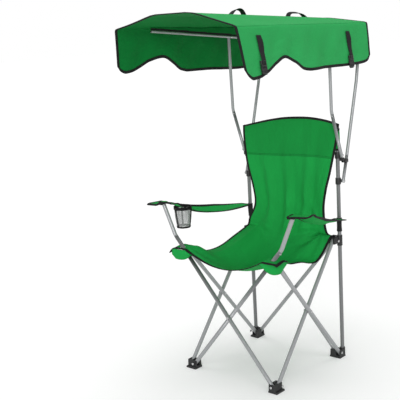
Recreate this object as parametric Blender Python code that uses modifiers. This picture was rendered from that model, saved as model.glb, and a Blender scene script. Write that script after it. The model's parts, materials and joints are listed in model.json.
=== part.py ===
"""Folding camping chair with a swing-back canopy.

Metres, +Z up. The origin is on the ground under the middle of the chair, +X is the
sitter's left and -Y is the front. The chair stands open with the canopy raised.
"""

import math

import bmesh
import bpy
from mathutils import Matrix, Vector

# Plan and heights of the folding frame
CORNER = 0.220
PIVOT_INSET = 0.016
FOOT_PIVOT_Z = 0.022
HUB_PIVOT_Z = 0.502
TUBE_RADIUS = 0.008
TUBE_WALL = 0.0012
TUBE_GAP = 0.001
END_REACH = 0.0065
PLANE_OFFSET = TUBE_RADIUS + TUBE_GAP / 2
PIVOT_REACH = CORNER - PIVOT_INSET
CROSSING_Z = (FOOT_PIVOT_Z + HUB_PIVOT_Z) / 2
TUBE_SLOPE = math.atan2(HUB_PIVOT_Z - FOOT_PIVOT_Z, 2 * PIVOT_REACH)

# Pins, rivets and running clearances
FIT_GAP = 0.0003
SLOT_GAP = 0.0004
PIN_RADIUS = 0.0025
PIN_CLEARANCE = 0.0006
PIN_HOLE_RADIUS = PIN_RADIUS + PIN_CLEARANCE
PIN_HEAD_RADIUS = 0.0048
PIN_HEAD_HEIGHT = 0.0018
OVERRUN = 0.004

# Arm supports, the upper ends of the two front tubes
ARM_BEND_REACH = 0.085
ARM_BEND_RADIUS = 0.050
ARM_LEAN = math.radians(23.8)
ARM_RISE = 0.124

# Moulded feet, hubs and sliders
CHEEK = 0.003
SLOT_HALF = TUBE_RADIUS + SLOT_GAP
END_ROOM = 0.0112
BLOCK_REACH = 0.029
FLANGE_MARGIN = 0.002
FLANGE_BACK = 0.013
FLANGE_HEIGHT = 0.008
FOOT_TOP = 0.034
HUB_HALF_HEIGHT = 0.014
HUB_DEPTH = 0.010
MOULD_BEVEL = 0.0014
LOW_CHEEK = 0.0021
LOW_CHEEK_RISE = 0.0038
SLEEVE_WALL = 0.0034
SOCKET_DEPTH = 0.024

# Rear posts
POST_RADIUS = 0.008
POST_OFFSET = 0.0085
POST_TOP = 0.955
CAP_HEIGHT = 0.004
CAP_PLUG = 0.012
POST_X = CORNER + POST_OFFSET
POST_Y = CORNER + POST_OFFSET

# Canopy linkage, as (y, z) places in the plane of its poles
POLE_RADIUS = 0.0065
POLE_WALL = 0.001
RAIL_RADIUS = 0.005
RAIL_WALL = 0.0008
COLLAR_WALL = 0.0035
COLLAR_HALF_HEIGHT = 0.013
UPPER_PIVOT = (POST_Y, 0.850)
LOWER_PIVOT = (POST_Y + 0.008, 0.745)
FRONT_POLE_BEND = (0.164, 1.031)
FRONT_POLE_TOP = (0.158, 1.3347)
REAR_POLE_KNEE = (0.268, 0.845)
REAR_POLE_BEND = (0.352, 1.135)
REAR_POLE_TOP = (0.385, 1.3143)
POLE_BEND_RADIUS = 0.060
RAIL_FRONT_Y = -0.312
RAIL_REAR_REACH = 0.009
CLIP_DROP = 0.024
CLIP_Z = UPPER_PIVOT[1] - CLIP_DROP
CLIP_HALF_HEIGHT = 0.007
CLIP_ARM = 0.003
CLIP_REACH = 0.002
LUG_REACH = 0.001
BOSS_RADIUS = 0.0065
POLE_X = POST_X + POST_RADIUS + COLLAR_WALL + SLOT_GAP + POLE_RADIUS
RAIL_X = POLE_X - POLE_RADIUS - SLOT_GAP - RAIL_RADIUS

# Canopy fabric
FABRIC = 0.002
ROOF_FRONT_Y = -0.450
ROOF_REAR_Y = 0.398
ROOF_FRONT_OVERHANG = 0.049
ROOF_REAR_OVERHANG = 0.038
ROOF_FRONT_HALF_WIDTH = RAIL_X + ROOF_FRONT_OVERHANG
ROOF_REAR_HALF_WIDTH = RAIL_X + ROOF_REAR_OVERHANG
CROWN_HALF_WIDTH = 0.092
SEAM_FRONT_Z = 1.379
SEAM_REAR_Z = 1.364
CROWN_FRONT_RISE = 0.055
CROWN_REAR_RISE = 0.026
WALL_DROP = 0.163
WALL_FLARE = 0.030
WALL_FRONT_SLANT = 0.026
HEM_STATION_SHARES = (0.0, 0.02, 0.05, 0.09, 0.15, 0.22, 0.30, 0.37, 0.43, 0.48, 0.60, 0.72, 0.84, 0.93, 0.975, 1.0)
HEM_RIGHT_DROP_SHARES = (0.87, 1.01, 1.09, 1.07, 0.98, 0.82, 0.70, 0.82, 0.99, 1.02, 1.0, 1.0, 0.99, 0.97, 0.92, 0.78)
HEM_LEFT_DROP_SHARES = (0.76, 0.88, 0.93, 0.91, 0.82, 0.69, 0.62, 0.78, 0.96, 1.0, 1.0, 1.02, 1.04, 1.02, 0.97, 0.82)
SLEEVE_THICKNESS = 0.0016

# Seat and back sling, in shares of its half width, its back's depth and its height over the hubs
SEAT_THICKNESS = 0.0026
SLING_HALF_WIDTH = 0.239
SLING_BACK_Y = POST_Y - POST_RADIUS - FIT_GAP - SEAT_THICKNESS / 2
SLING_CORNER_Z = HUB_PIVOT_Z + HUB_HALF_HEIGHT + FIT_GAP + SEAT_THICKNESS / 2
SLING_RISE = 0.445
SLING_CENTRE_DEPTH_SHARES = (-1.12, -0.90, -0.57, -0.17, 0.22, 0.50, 0.66, 0.78, 0.89, 0.94, 0.98, 1.01, 1.02, 1.02)
SLING_CENTRE_RISE_SHARES = (-0.125, -0.155, -0.20, -0.215, -0.20, -0.15, -0.10, -0.02, 0.18, 0.39, 0.60, 0.79, 0.96, 1.08)
SLING_EDGE_WIDTH_SHARES = (1.09, 1.05, 0.92, 0.87, 0.88, 0.90, 0.905, 0.80, 0.74, 0.79, 0.89, 0.95, 0.985, 1.0)
SLING_LEFT_WAIST_SHARE = 1.10
SLING_EDGE_DEPTH_SHARES = (-1.12, -0.84, -0.50, -0.10, 0.42, 0.855, 0.965, 0.89, 0.915, 0.915, 0.92, 0.945, 0.975, 1.0)
SLING_LEFT_RISE_SHARES = (0.0, 0.0, -0.09, -0.095, -0.04, 0.0, 0.0, 0.04, 0.24, 0.42, 0.61, 0.775, 0.90, 0.995)
SLING_RIGHT_RISE_SHARES = (0.0, 0.0, -0.08, -0.12, -0.17, 0.0, 0.0, 0.04, 0.24, 0.42, 0.61, 0.785, 0.925, 1.03)
SLING_HEM_SHARE = (CORNER - BLOCK_REACH) / (SLING_HALF_WIDTH * max(SLING_EDGE_WIDTH_SHARES))
SLING_WAIST_STATION = 7
SLING_COLUMN_SHARES = (0.0, 0.25, 0.5, 0.75, 1.0)
FOLD_DEPTH = 0.006
FOLD_COUNT = 3.0

# Arm strips and the cup holder
ARM_FRONT_Y = -0.250
ARM_FRONT_X = 0.346
ARM_REAR_X = 0.240
ARM_FRONT_WIDTH = 0.104
ARM_REAR_WIDTH = 0.056
ARM_STATION_SHARES = (0.0, 0.025, 0.14, 0.21, 0.29, 0.40, 0.52, 0.66, 0.82, 1.0)
ARM_LEFT_DROP = 0.090
ARM_RIGHT_DROP = 0.108
ARM_LEFT_DROP_SHARES = (0.03, 0.0, 0.0, 0.24, 0.47, 0.65, 0.78, 0.88, 0.96, 1.0)
ARM_RIGHT_DROP_SHARES = (0.02, 0.0, 0.0, 0.12, 0.26, 0.42, 0.58, 0.73, 0.88, 1.0)
ARM_TILT = 0.011
ARM_TILT_SHARES = (0.0, 0.0, 0.0, 0.4, 0.8, 1.0, 1.0, 1.0, 0.6, 0.0)
WEBBING = 0.0018
LOOP_HEIGHT = 0.055
LOOP_GAP = 0.0004
CUP_Y = -0.112
CUP_OUTSET = 0.003
CUP_SINK = 0.007
CUP_RIM_RADIUS = 0.0385
CUP_TOP_RADIUS = 0.0365
CUP_FLOOR_RADIUS = 0.027
CUP_WALL = 0.0018
CUP_DEPTH = 0.082
CUP_RIM_HEIGHT = 0.018

# Carry handles and wall straps of the canopy, as (y, span, height) and (y, length)
WEBBING_WIDTH = 0.025
HANDLE_FRONT_Y = -0.085
HANDLE_REAR_Y = 0.300
HANDLE_SPAN = 0.112
HANDLE_HEIGHT = 0.030
STRAP_FRONT_Y = -0.325
STRAP_REAR_Y = 0.238
STRAP_WIDTH = 0.024
STRAP_FRONT_DROP = 0.168
STRAP_REAR_DROP = 0.162
BUCKLE_LENGTH = 0.045
BUCKLE_THICKNESS = 0.008

# The canopy reaches further forward than back, so the chair stands behind the origin's middle
STAND_SHIFT = -(ROOF_FRONT_Y + ROOF_REAR_Y) / 2

ROUND_SIDES = 12
SMALL_SIDES = 10

PARTS = "canopy_camping_chair"
CUTTERS = "cutters"
STAND = "chair_stand"

SILVER = ("silver_tube", (0.50, 0.52, 0.54, 1.0), 0.38, 0.75)
BLACK = ("black_plastic", (0.012, 0.012, 0.013, 1.0), 0.45, 0.0)
STEEL = ("rivet_steel", (0.55, 0.56, 0.58, 1.0), 0.30, 1.0)
GREEN = ("green_fabric", (0.010, 0.270, 0.060, 1.0), 0.85, 0.0)
WEB = ("black_webbing", (0.010, 0.010, 0.011, 1.0), 0.80, 0.0)
MESH = ("grey_mesh", (0.40, 0.41, 0.41, 1.0), 0.80, 0.0)


def clear_scene():
    """Empties the scene and makes the two collections."""
    for item in list(bpy.data.objects):
        bpy.data.objects.remove(item)
    for name in (PARTS, CUTTERS):
        group = bpy.data.collections.new(name)
        bpy.context.scene.collection.children.link(group)
    bpy.data.collections[CUTTERS].hide_render = True
    stand = bpy.data.objects.new(STAND, None)
    stand.location = (0, STAND_SHIFT, 0)
    bpy.data.collections[PARTS].objects.link(stand)


def material(look):
    """The material of a look, made on first use."""
    name, colour, roughness, metallic = look
    found = bpy.data.materials.get(name)
    if found:
        return found
    made = bpy.data.materials.new(name)
    made.use_nodes = True
    shader = made.node_tree.nodes["Principled BSDF"]
    shader.inputs["Base Color"].default_value = colour
    shader.inputs["Roughness"].default_value = roughness
    shader.inputs["Metallic"].default_value = metallic
    return made


def add_object(name, data, look=None):
    """Links an object: a part with its own look, or a cutter without one."""
    made = bpy.data.objects.new(name, data)
    bpy.data.collections[PARTS if look else CUTTERS].objects.link(made)
    if look:
        data.materials.append(material(look))
    else:
        made.hide_render = True
        made.display_type = "WIRE"
    made.parent = bpy.data.objects[STAND]
    return made


def from_bmesh(name, shape, look=None, place=None):
    """An object of a bmesh, which may be placed by a matrix that mirrors it."""
    if place is not None:
        shape.transform(place)
    shape.normal_update()
    bmesh.ops.recalc_face_normals(shape, faces=shape.faces)
    data = bpy.data.meshes.new(name)
    shape.to_mesh(data)
    shape.free()
    if look:
        data.shade_smooth()
        data.set_sharp_from_angle(angle=math.radians(35))
    return add_object(name, data, look)


def box(name, low, high, look=None, place=None, shrink=None):
    """A box between two corners. Its top can shrink in x and y, as a moulding's draft does."""
    shape = bmesh.new()
    bmesh.ops.create_cube(shape, size=1.0)
    size = Vector(high) - Vector(low)
    middle = (Vector(high) + Vector(low)) / 2
    bmesh.ops.scale(shape, vec=size, verts=shape.verts)
    if shrink:
        top = [v for v in shape.verts if v.co.z > 0]
        bmesh.ops.scale(shape, vec=(1 - 2 * shrink / size.x, 1 - 2 * shrink / size.y, 1), verts=top)
    bmesh.ops.translate(shape, vec=middle, verts=shape.verts)
    return from_bmesh(name, shape, look, place)


def rod(name, start, end, radius, look=None, place=None, sides=ROUND_SIDES):
    """A cylinder between two points, with the middle of a facet towards each main axis."""
    start = Vector(start)
    run = Vector(end) - start
    turn = run.to_track_quat("Z", "Y").to_matrix().to_4x4()
    shape = bmesh.new()
    bmesh.ops.create_cone(
        shape, cap_ends=True, segments=sides, radius1=radius, radius2=radius, depth=run.length
    )
    facet = Matrix.Rotation(math.pi / sides, 4, "Z")
    shape.transform(Matrix.Translation(start + run / 2) @ turn @ facet)
    return from_bmesh(name, shape, look, place)


def boolean(target, tool, operation="DIFFERENCE"):
    """Cuts a tool from a target, or joins it to the target, with the exact solver."""
    step = target.modifiers.new(tool.name, "BOOLEAN")
    step.object = tool
    step.operation = operation
    step.solver = "EXACT"


def bevelled(target, width=MOULD_BEVEL):
    """Rounds the sharp edges of a moulding."""
    step = target.modifiers.new("edge", "BEVEL")
    step.width = width
    step.segments = 1
    step.limit_method = "ANGLE"
    step.angle_limit = math.radians(50)


def rounded_path(corners, radius, steps=4):
    """Points of a path whose inner corners are arcs of one radius."""
    points = [Vector(corners[0])]
    for before, corner, after in zip(corners, corners[1:], corners[2:]):
        corner = Vector(corner)
        inward = (Vector(before) - corner).normalized()
        outward = (Vector(after) - corner).normalized()
        half = inward.angle(outward) / 2
        trim = radius / math.tan(half)
        centre = corner + (inward + outward).normalized() * (radius / math.sin(half))
        first = corner + inward * trim - centre
        last = corner + outward * trim - centre
        for step in range(steps + 1):
            points.append(centre + first.slerp(last, step / steps) * radius)
    points.append(Vector(corners[-1]))
    return points


def tube(name, points, radius, wall, look):
    """A hollow tube along a path, open at both ends."""
    curve = bpy.data.curves.new(name, "CURVE")
    curve.dimensions = "3D"
    curve.bevel_depth = radius
    curve.bevel_resolution = 4
    curve.use_fill_caps = False
    spline = curve.splines.new("POLY")
    spline.points.add(len(points) - 1)
    for slot, point in zip(spline.points, points):
        slot.co = (*point, 1.0)
    draft = bpy.data.objects.new(name + "_draft", curve)
    bpy.context.scene.collection.objects.link(draft)
    graph = bpy.context.evaluated_depsgraph_get()
    data = bpy.data.meshes.new_from_object(draft.evaluated_get(graph))
    bpy.data.objects.remove(draft)
    shape = bmesh.new()
    shape.from_mesh(data)
    bpy.data.meshes.remove(data)
    bmesh.ops.remove_doubles(shape, verts=shape.verts, dist=TUBE_WALL / 20)
    made = from_bmesh(name, shape, look)
    shell = made.modifiers.new("wall", "SOLIDIFY")
    shell.thickness = wall
    shell.offset = -1.0
    return made


def drill(target, centre, axis, radius, half_length):
    """A through hole for a pin."""
    centre = Vector(centre)
    reach = Vector(axis) * half_length
    name = f"{target.name}_hole_{len(target.modifiers)}"
    boolean(target, rod(name, centre - reach, centre + reach, radius, sides=SMALL_SIDES))


def headed_pin(name, start, end, look, two_heads=True):
    """A rivet between two points, with a flat head past its end and one past its start."""
    start = Vector(start)
    end = Vector(end)
    along = (end - start).normalized()
    pin = rod(name, start, end, PIN_RADIUS, look, sides=SMALL_SIDES)
    lap = along * FIT_GAP
    heads = [(end - lap, end + along * PIN_HEAD_HEIGHT)]
    if two_heads:
        heads.append((start + lap, start - along * PIN_HEAD_HEIGHT))
    for low, high in heads:
        head = rod(f"{name}_head_{len(pin.modifiers)}", low, high, PIN_HEAD_RADIUS, sides=ROUND_SIDES)
        boolean(pin, head, "UNION")
    return pin


def quarter_turn(count):
    """The frame repeats at every quarter turn about the vertical."""
    return Matrix.Rotation(count * math.pi / 2, 4, "Z")


def foot_frame(turns):
    """Local axes of a foot: the inner tube runs along +x, the outer along +y, from the corner."""
    return quarter_turn(turns) @ Matrix.Translation((-CORNER, -CORNER, 0))


def hub_frame(turns):
    """Local axes of a hub or slider, the mirror image of a foot's."""
    swap = Matrix(((0, 1, 0, 0), (1, 0, 0, 0), (0, 0, 1, 0), (0, 0, 0, 1)))
    return quarter_turn(turns) @ Matrix.Translation((-CORNER, -CORNER, 0)) @ swap


def tube_slots(target, place, floor, ceiling):
    """Cuts the two slots that the inner and the outer tube swing in."""
    start = PIVOT_INSET - END_ROOM
    far = BLOCK_REACH + FLANGE_MARGIN + OVERRUN
    inner = (PLANE_OFFSET - SLOT_HALF, PLANE_OFFSET + SLOT_HALF)
    boolean(target, box(target.name + "_slot_a", (start, inner[0], floor), (far, inner[1], ceiling), place=place))
    boolean(target, box(target.name + "_slot_b", (-inner[1], start, floor), (-inner[0], far, ceiling), place=place))


def slot_pins(target, place, height):
    """Joins the two pins that cross the slots."""
    inner_low = (PIVOT_INSET, PLANE_OFFSET - SLOT_HALF - CHEEK / 2, height)
    inner_high = (PIVOT_INSET, PLANE_OFFSET + SLOT_HALF + CHEEK / 2, height)
    outer_low = (-PLANE_OFFSET - SLOT_HALF - CHEEK / 2, PIVOT_INSET, height)
    outer_high = (-PLANE_OFFSET + SLOT_HALF + CHEEK / 2, PIVOT_INSET, height)
    for tag, low, high in (("a", inner_low, inner_high), ("b", outer_low, outer_high)):
        pin = rod(f"{target.name}_pin_{tag}", low, high, PIN_RADIUS, place=place, sides=SMALL_SIDES)
        boolean(target, pin, "UNION")


def foot(name, turns, holds_post):
    """A moulded foot: flange, tapered block, two slots with pins and, at the rear, the post's socket."""
    place = foot_frame(turns)
    outer_side = PLANE_OFFSET + SLOT_HALF + CHEEK
    inner_side = SLOT_HALF + CHEEK - PLANE_OFFSET
    low = (-outer_side - FLANGE_MARGIN, -FLANGE_BACK, 0)
    high = (BLOCK_REACH + FLANGE_MARGIN, BLOCK_REACH + FLANGE_MARGIN, FLANGE_HEIGHT)
    made = box(name, low, high, BLACK, place, shrink=MOULD_BEVEL)
    bevelled(made)
    block_low = (-outer_side, -inner_side, FLANGE_HEIGHT / 2)
    block_high = (BLOCK_REACH, BLOCK_REACH, FOOT_TOP)
    block = box(name + "_block", block_low, block_high, place=place, shrink=MOULD_BEVEL / 2)
    bevelled(block)
    boolean(made, block, "UNION")
    if holds_post:
        reach = POST_RADIUS + SLEEVE_WALL
        socket_low = (-POST_OFFSET, -POST_OFFSET, FLANGE_HEIGHT / 4)
        socket_high = (-POST_OFFSET, -POST_OFFSET, FOOT_TOP + SLEEVE_WALL)
        boolean(made, rod(name + "_socket", socket_low, socket_high, reach, place=place), "UNION")
    tube_slots(made, place, FOOT_PIVOT_Z - END_ROOM, FOOT_TOP + OVERRUN)
    slot_pins(made, place, FOOT_PIVOT_Z)
    if holds_post:
        bore_low = (-POST_OFFSET, -POST_OFFSET, FOOT_TOP + SLEEVE_WALL - SOCKET_DEPTH)
        bore_high = (-POST_OFFSET, -POST_OFFSET, FOOT_TOP + SLEEVE_WALL + OVERRUN)
        boolean(made, rod(name + "_bore", bore_low, bore_high, POST_RADIUS + SLOT_GAP, place=place))
    return made


def slider(name, turns):
    """A rear slider: a sleeve that rides on the post, with two slots under one roof."""
    place = hub_frame(turns)
    outer_side = PLANE_OFFSET + SLOT_HALF + CHEEK
    low_z = HUB_PIVOT_Z - HUB_HALF_HEIGHT
    high_z = HUB_PIVOT_Z + HUB_HALF_HEIGHT
    made = box(name, (-outer_side, -PLANE_OFFSET, low_z), (BLOCK_REACH, outer_side, high_z), BLACK, place)
    bevelled(made)
    arm_low = (-outer_side, -PLANE_OFFSET, low_z)
    arm_high = (PIVOT_INSET - END_ROOM, BLOCK_REACH, high_z)
    arm = box(name + "_arm", arm_low, arm_high, place=place)
    bevelled(arm)
    boolean(made, arm, "UNION")
    sleeve_low = (-POST_OFFSET, -POST_OFFSET, low_z - HUB_DEPTH)
    sleeve_high = (-POST_OFFSET, -POST_OFFSET, high_z + HUB_DEPTH / 2)
    reach = POST_RADIUS + SLEEVE_WALL
    boolean(made, rod(name + "_sleeve", sleeve_low, sleeve_high, reach, place=place), "UNION")
    tube_slots(made, place, low_z - OVERRUN, HUB_PIVOT_Z + END_ROOM)
    slot_pins(made, place, HUB_PIVOT_Z)
    bore_low = (-POST_OFFSET, -POST_OFFSET, low_z - HUB_DEPTH - OVERRUN)
    bore_high = (-POST_OFFSET, -POST_OFFSET, high_z + HUB_DEPTH)
    boolean(made, rod(name + "_bore", bore_low, bore_high, POST_RADIUS + PIN_CLEARANCE, place=place))
    return made


def face_pin(target, place, base, tip):
    """Joins a pin that a passing tube turns on, with its head past the tube."""
    base = Vector(base)
    tip = Vector(tip)
    along = (tip - base).normalized()
    shank = rod(target.name + "_shank", base, tip + along * FIT_GAP, PIN_RADIUS, place=place, sides=SMALL_SIDES)
    head = rod(target.name + "_head", tip, tip + along * PIN_HEAD_HEIGHT, PIN_HEAD_RADIUS, place=place)
    boolean(target, shank, "UNION")
    boolean(target, head, "UNION")


def left_hub(name):
    """The left front hub: a slot for the side tube's end, and a pin for the arm tube passing outside it."""
    place = hub_frame(0)
    inner_side = SLOT_HALF + CHEEK - PLANE_OFFSET
    outer_side = PLANE_OFFSET + SLOT_HALF + CHEEK
    low_z = HUB_PIVOT_Z - HUB_HALF_HEIGHT
    high_z = HUB_PIVOT_Z + HUB_HALF_HEIGHT
    made = box(name, (SLOT_GAP, -inner_side, low_z), (BLOCK_REACH, outer_side, high_z), BLACK, place)
    bevelled(made)
    slot_low = (PIVOT_INSET - END_ROOM, PLANE_OFFSET - SLOT_HALF, low_z - OVERRUN)
    slot_high = (BLOCK_REACH + OVERRUN, PLANE_OFFSET + SLOT_HALF, HUB_PIVOT_Z + END_ROOM)
    boolean(made, box(name + "_slot", slot_low, slot_high, place=place))
    pin_low = (PIVOT_INSET, PLANE_OFFSET - SLOT_HALF - CHEEK / 2, HUB_PIVOT_Z)
    pin_high = (PIVOT_INSET, PLANE_OFFSET + SLOT_HALF + CHEEK / 2, HUB_PIVOT_Z)
    boolean(made, rod(name + "_pin", pin_low, pin_high, PIN_RADIUS, place=place, sides=SMALL_SIDES), "UNION")
    base = (PIVOT_INSET - END_ROOM - SLOT_GAP, PIVOT_INSET, HUB_PIVOT_Z)
    tip = (-PLANE_OFFSET - SLOT_HALF, PIVOT_INSET, HUB_PIVOT_Z)
    face_pin(made, place, base, tip)
    return made


def right_hub(name):
    """The right front hub: the side tube's end sits outside, and the arm tube passes over it inside."""
    place = hub_frame(1)
    outer_side = PLANE_OFFSET + SLOT_HALF + CHEEK
    face = PLANE_OFFSET + SLOT_HALF
    low_z = HUB_PIVOT_Z - HUB_HALF_HEIGHT
    high_z = HUB_PIVOT_Z + HUB_HALF_HEIGHT
    made = box(name, (-outer_side, face, low_z), (BLOCK_REACH, face + HUB_DEPTH, high_z), BLACK, place)
    bevelled(made)
    cheek_front = PIVOT_INSET - PIN_RADIUS - CHEEK / 2
    outer_low = (-outer_side, cheek_front, low_z)
    outer_high = (-PLANE_OFFSET - SLOT_HALF / 2, face + CHEEK, high_z)
    boolean(made, box(name + "_outer_cheek", outer_low, outer_high, place=place), "UNION")
    inner_low = (-PLANE_OFFSET, cheek_front, low_z)
    inner_high = (LOW_CHEEK, face + CHEEK, HUB_PIVOT_Z + LOW_CHEEK_RISE)
    boolean(made, box(name + "_inner_cheek", inner_low, inner_high, place=place), "UNION")
    slot_low = (-PLANE_OFFSET - SLOT_HALF, cheek_front - OVERRUN, low_z - OVERRUN)
    slot_high = (-PLANE_OFFSET + SLOT_HALF, face + HUB_DEPTH + OVERRUN, HUB_PIVOT_Z + END_ROOM)
    boolean(made, box(name + "_slot", slot_low, slot_high, place=place))
    pin_low = (-PLANE_OFFSET - SLOT_HALF - CHEEK / 2, PIVOT_INSET, HUB_PIVOT_Z)
    pin_high = (-PLANE_OFFSET + SLOT_HALF + LOW_CHEEK / 2, PIVOT_INSET, HUB_PIVOT_Z)
    boolean(made, rod(name + "_pin", pin_low, pin_high, PIN_RADIUS, place=place, sides=SMALL_SIDES), "UNION")
    base = (PIVOT_INSET, face + CHEEK, HUB_PIVOT_Z)
    tip = (PIVOT_INSET, PLANE_OFFSET - SLOT_HALF, HUB_PIVOT_Z)
    face_pin(made, place, base, tip)
    return made


def cross_tube(name, turns, outer, with_arm=False):
    """One tube of a side's cross. A front tube runs on past its hub and bends up to the arm."""
    plane = -(CORNER + PLANE_OFFSET) if outer else -(CORNER - PLANE_OFFSET)
    side = -1 if outer else 1
    slope = Vector((side * math.cos(TUBE_SLOPE), 0, math.sin(TUBE_SLOPE)))
    bottom = Vector((-side * PIVOT_REACH, plane, FOOT_PIVOT_Z))
    top = Vector((side * PIVOT_REACH, plane, HUB_PIVOT_Z))
    corners = [bottom - slope * END_REACH, top + slope * END_REACH]
    if with_arm:
        bend = top + slope * ARM_BEND_REACH
        lean = Vector((side * math.tan(ARM_LEAN), 0, 1))
        corners = [bottom - slope * END_REACH, bend, bend + lean * ARM_RISE]
    turn = quarter_turn(turns)
    points = [turn @ point for point in rounded_path(corners, ARM_BEND_RADIUS)]
    made = tube(name, points, TUBE_RADIUS, TUBE_WALL, SILVER)
    across = turn.to_3x3() @ Vector((0, 1, 0))
    for point in (bottom, top, Vector((0, plane, CROSSING_Z))):
        drill(made, turn @ point, across, PIN_HOLE_RADIUS, TUBE_RADIUS + TUBE_GAP / 3)
    return made


def crossing_rivet(name, turns):
    """The rivet that two tubes of one side turn on."""
    turn = quarter_turn(turns)
    reach = PLANE_OFFSET + TUBE_RADIUS + FIT_GAP
    start = turn @ Vector((0, -CORNER - reach, CROSSING_Z))
    end = turn @ Vector((0, -CORNER + reach, CROSSING_Z))
    return headed_pin(name, start, end, STEEL)


def tube_cap(name, end, along, radius, wall):
    """A domed plug in the open end of a tube."""
    end = Vector(end)
    along = Vector(along).normalized()
    plug = radius - wall - SLOT_GAP
    seat = end + along * FIT_GAP
    profile = (
        (0, CAP_HEIGHT),
        (radius / 2, CAP_HEIGHT * 0.8),
        (radius * 0.9, CAP_HEIGHT * 0.4),
        (radius, 0),
        (plug, 0),
        (plug, -CAP_PLUG),
        (0, -CAP_PLUG),
    )
    made = turned(name, profile, BLACK)
    turn = along.to_track_quat("Z", "Y").to_matrix().to_4x4()
    made.data.transform(Matrix.Translation(seat) @ turn)
    return made


def turned(name, profile, look, sides=ROUND_SIDES):
    """A solid of revolution about Z, spun from a profile of (radius, height) points."""
    shape = bmesh.new()
    corners = [shape.verts.new((radius, 0, height)) for radius, height in profile]
    edges = [shape.edges.new(pair) for pair in zip(corners, corners[1:])]
    bmesh.ops.spin(
        shape,
        geom=corners + edges,
        cent=(0, 0, 0),
        axis=(0, 0, 1),
        angle=math.tau,
        steps=sides,
        use_merge=True,
        use_duplicate=False,
    )
    bmesh.ops.remove_doubles(shape, verts=shape.verts, dist=FIT_GAP / 10)
    return from_bmesh(name, shape, look)


def mirrored(side):
    """The plane mirror that makes a left piece of a right one."""
    return Matrix.Diagonal((side, 1, 1, 1))


def collar(name, side, pivot, clip_lug):
    """A bracket clamped round the post, with a boss that a canopy pole turns on."""
    place = mirrored(side)
    pivot_y, pivot_z = pivot
    reach = POST_RADIUS + COLLAR_WALL
    low = (POST_X, POST_Y, pivot_z - COLLAR_HALF_HEIGHT)
    high = (POST_X, POST_Y, pivot_z + COLLAR_HALF_HEIGHT)
    made = rod(name, low, high, reach, BLACK, place)
    bevelled(made, MOULD_BEVEL / 2)
    boss_end = POLE_X - POLE_RADIUS - SLOT_GAP
    boss = rod(name + "_boss", (POST_X, pivot_y, pivot_z), (boss_end, pivot_y, pivot_z), BOSS_RADIUS, place=place)
    boolean(made, boss, "UNION")
    if clip_lug:
        lug_floor = pivot_z - COLLAR_HALF_HEIGHT - COLLAR_WALL - CLIP_HALF_HEIGHT
        lug_low = (POST_X + COLLAR_WALL / 2, POST_Y + COLLAR_WALL / 2, lug_floor)
        lug_high = (POLE_X + POLE_RADIUS, POST_Y + reach + LUG_REACH, pivot_z - COLLAR_HALF_HEIGHT + COLLAR_WALL)
        lug = box(name + "_lug", lug_low, lug_high, place=place)
        bevelled(lug)
        boolean(made, lug, "UNION")
    bore_low = (POST_X, POST_Y, pivot_z - 2 * COLLAR_HALF_HEIGHT)
    bore_high = (POST_X, POST_Y, pivot_z + 2 * COLLAR_HALF_HEIGHT)
    boolean(made, rod(name + "_bore", bore_low, bore_high, POST_RADIUS + FIT_GAP, place=place))
    hole_low = (boss_end - COLLAR_WALL + FIT_GAP, pivot_y, pivot_z)
    hole_high = (boss_end + OVERRUN, pivot_y, pivot_z)
    hole = rod(name + "_hole", hole_low, hole_high, PIN_HOLE_RADIUS, place=place, sides=SMALL_SIDES)
    boolean(made, hole)
    return made


def pivot_pin(name, side, pivot):
    """The rivet of a canopy pole, from the boss through the pole to its head."""
    start = (side * (POLE_X - POLE_RADIUS - COLLAR_WALL + FIT_GAP), *pivot)
    end = (side * (POLE_X + POLE_RADIUS + FIT_GAP), *pivot)
    return headed_pin(name, start, end, STEEL, two_heads=False)


def pole(name, side, corners, pivots):
    """A bent canopy pole with a pin hole at each pivot."""
    places = [Vector((side * POLE_X, *corner)) for corner in corners]
    first = (places[0] - places[1]).normalized()
    last = (places[-1] - places[-2]).normalized()
    places[0] += first * END_REACH
    places[-1] += last * END_REACH
    made = tube(name, rounded_path(places, POLE_BEND_RADIUS, steps=3), POLE_RADIUS, POLE_WALL, SILVER)
    for pivot in pivots:
        drill(made, (side * POLE_X, *pivot), (1, 0, 0), PIN_HOLE_RADIUS, POLE_RADIUS + FIT_GAP)
    return made


def rail_height(y):
    """Height of the rail's axis, a straight line through its two rivets."""
    front_y, front_z = FRONT_POLE_TOP
    rear_y, rear_z = REAR_POLE_TOP
    return front_z + (y - front_y) * (rear_z - front_z) / (rear_y - front_y)


def rail(name, side):
    """The rail under one edge of the roof."""
    rear_y = REAR_POLE_TOP[0] + RAIL_REAR_REACH
    ends = [Vector((side * RAIL_X, y, rail_height(y))) for y in (RAIL_FRONT_Y, rear_y)]
    made = tube(name, ends, RAIL_RADIUS, RAIL_WALL, SILVER)
    drill(made, (side * RAIL_X, *FRONT_POLE_TOP), (1, 0, 0), PIN_HOLE_RADIUS, RAIL_RADIUS + FIT_GAP)
    return made


def rail_rivet(name, side, pivot, through_rail):
    """A rivet through a pole's top, which goes on through the rail beside it or ends at the rail's side."""
    inner = RAIL_X - RAIL_RADIUS - FIT_GAP if through_rail else POLE_X - POLE_RADIUS
    end = (side * (POLE_X + POLE_RADIUS + FIT_GAP), *pivot)
    return headed_pin(name, (side * inner, *pivot), end, STEEL, two_heads=through_rail)


def pole_point(z):
    """The rear pole's y at a height between its foot and its knee."""
    share = (z - LOWER_PIVOT[1]) / (REAR_POLE_KNEE[1] - LOWER_PIVOT[1])
    return LOWER_PIVOT[0] + share * (REAR_POLE_KNEE[0] - LOWER_PIVOT[0])


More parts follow.
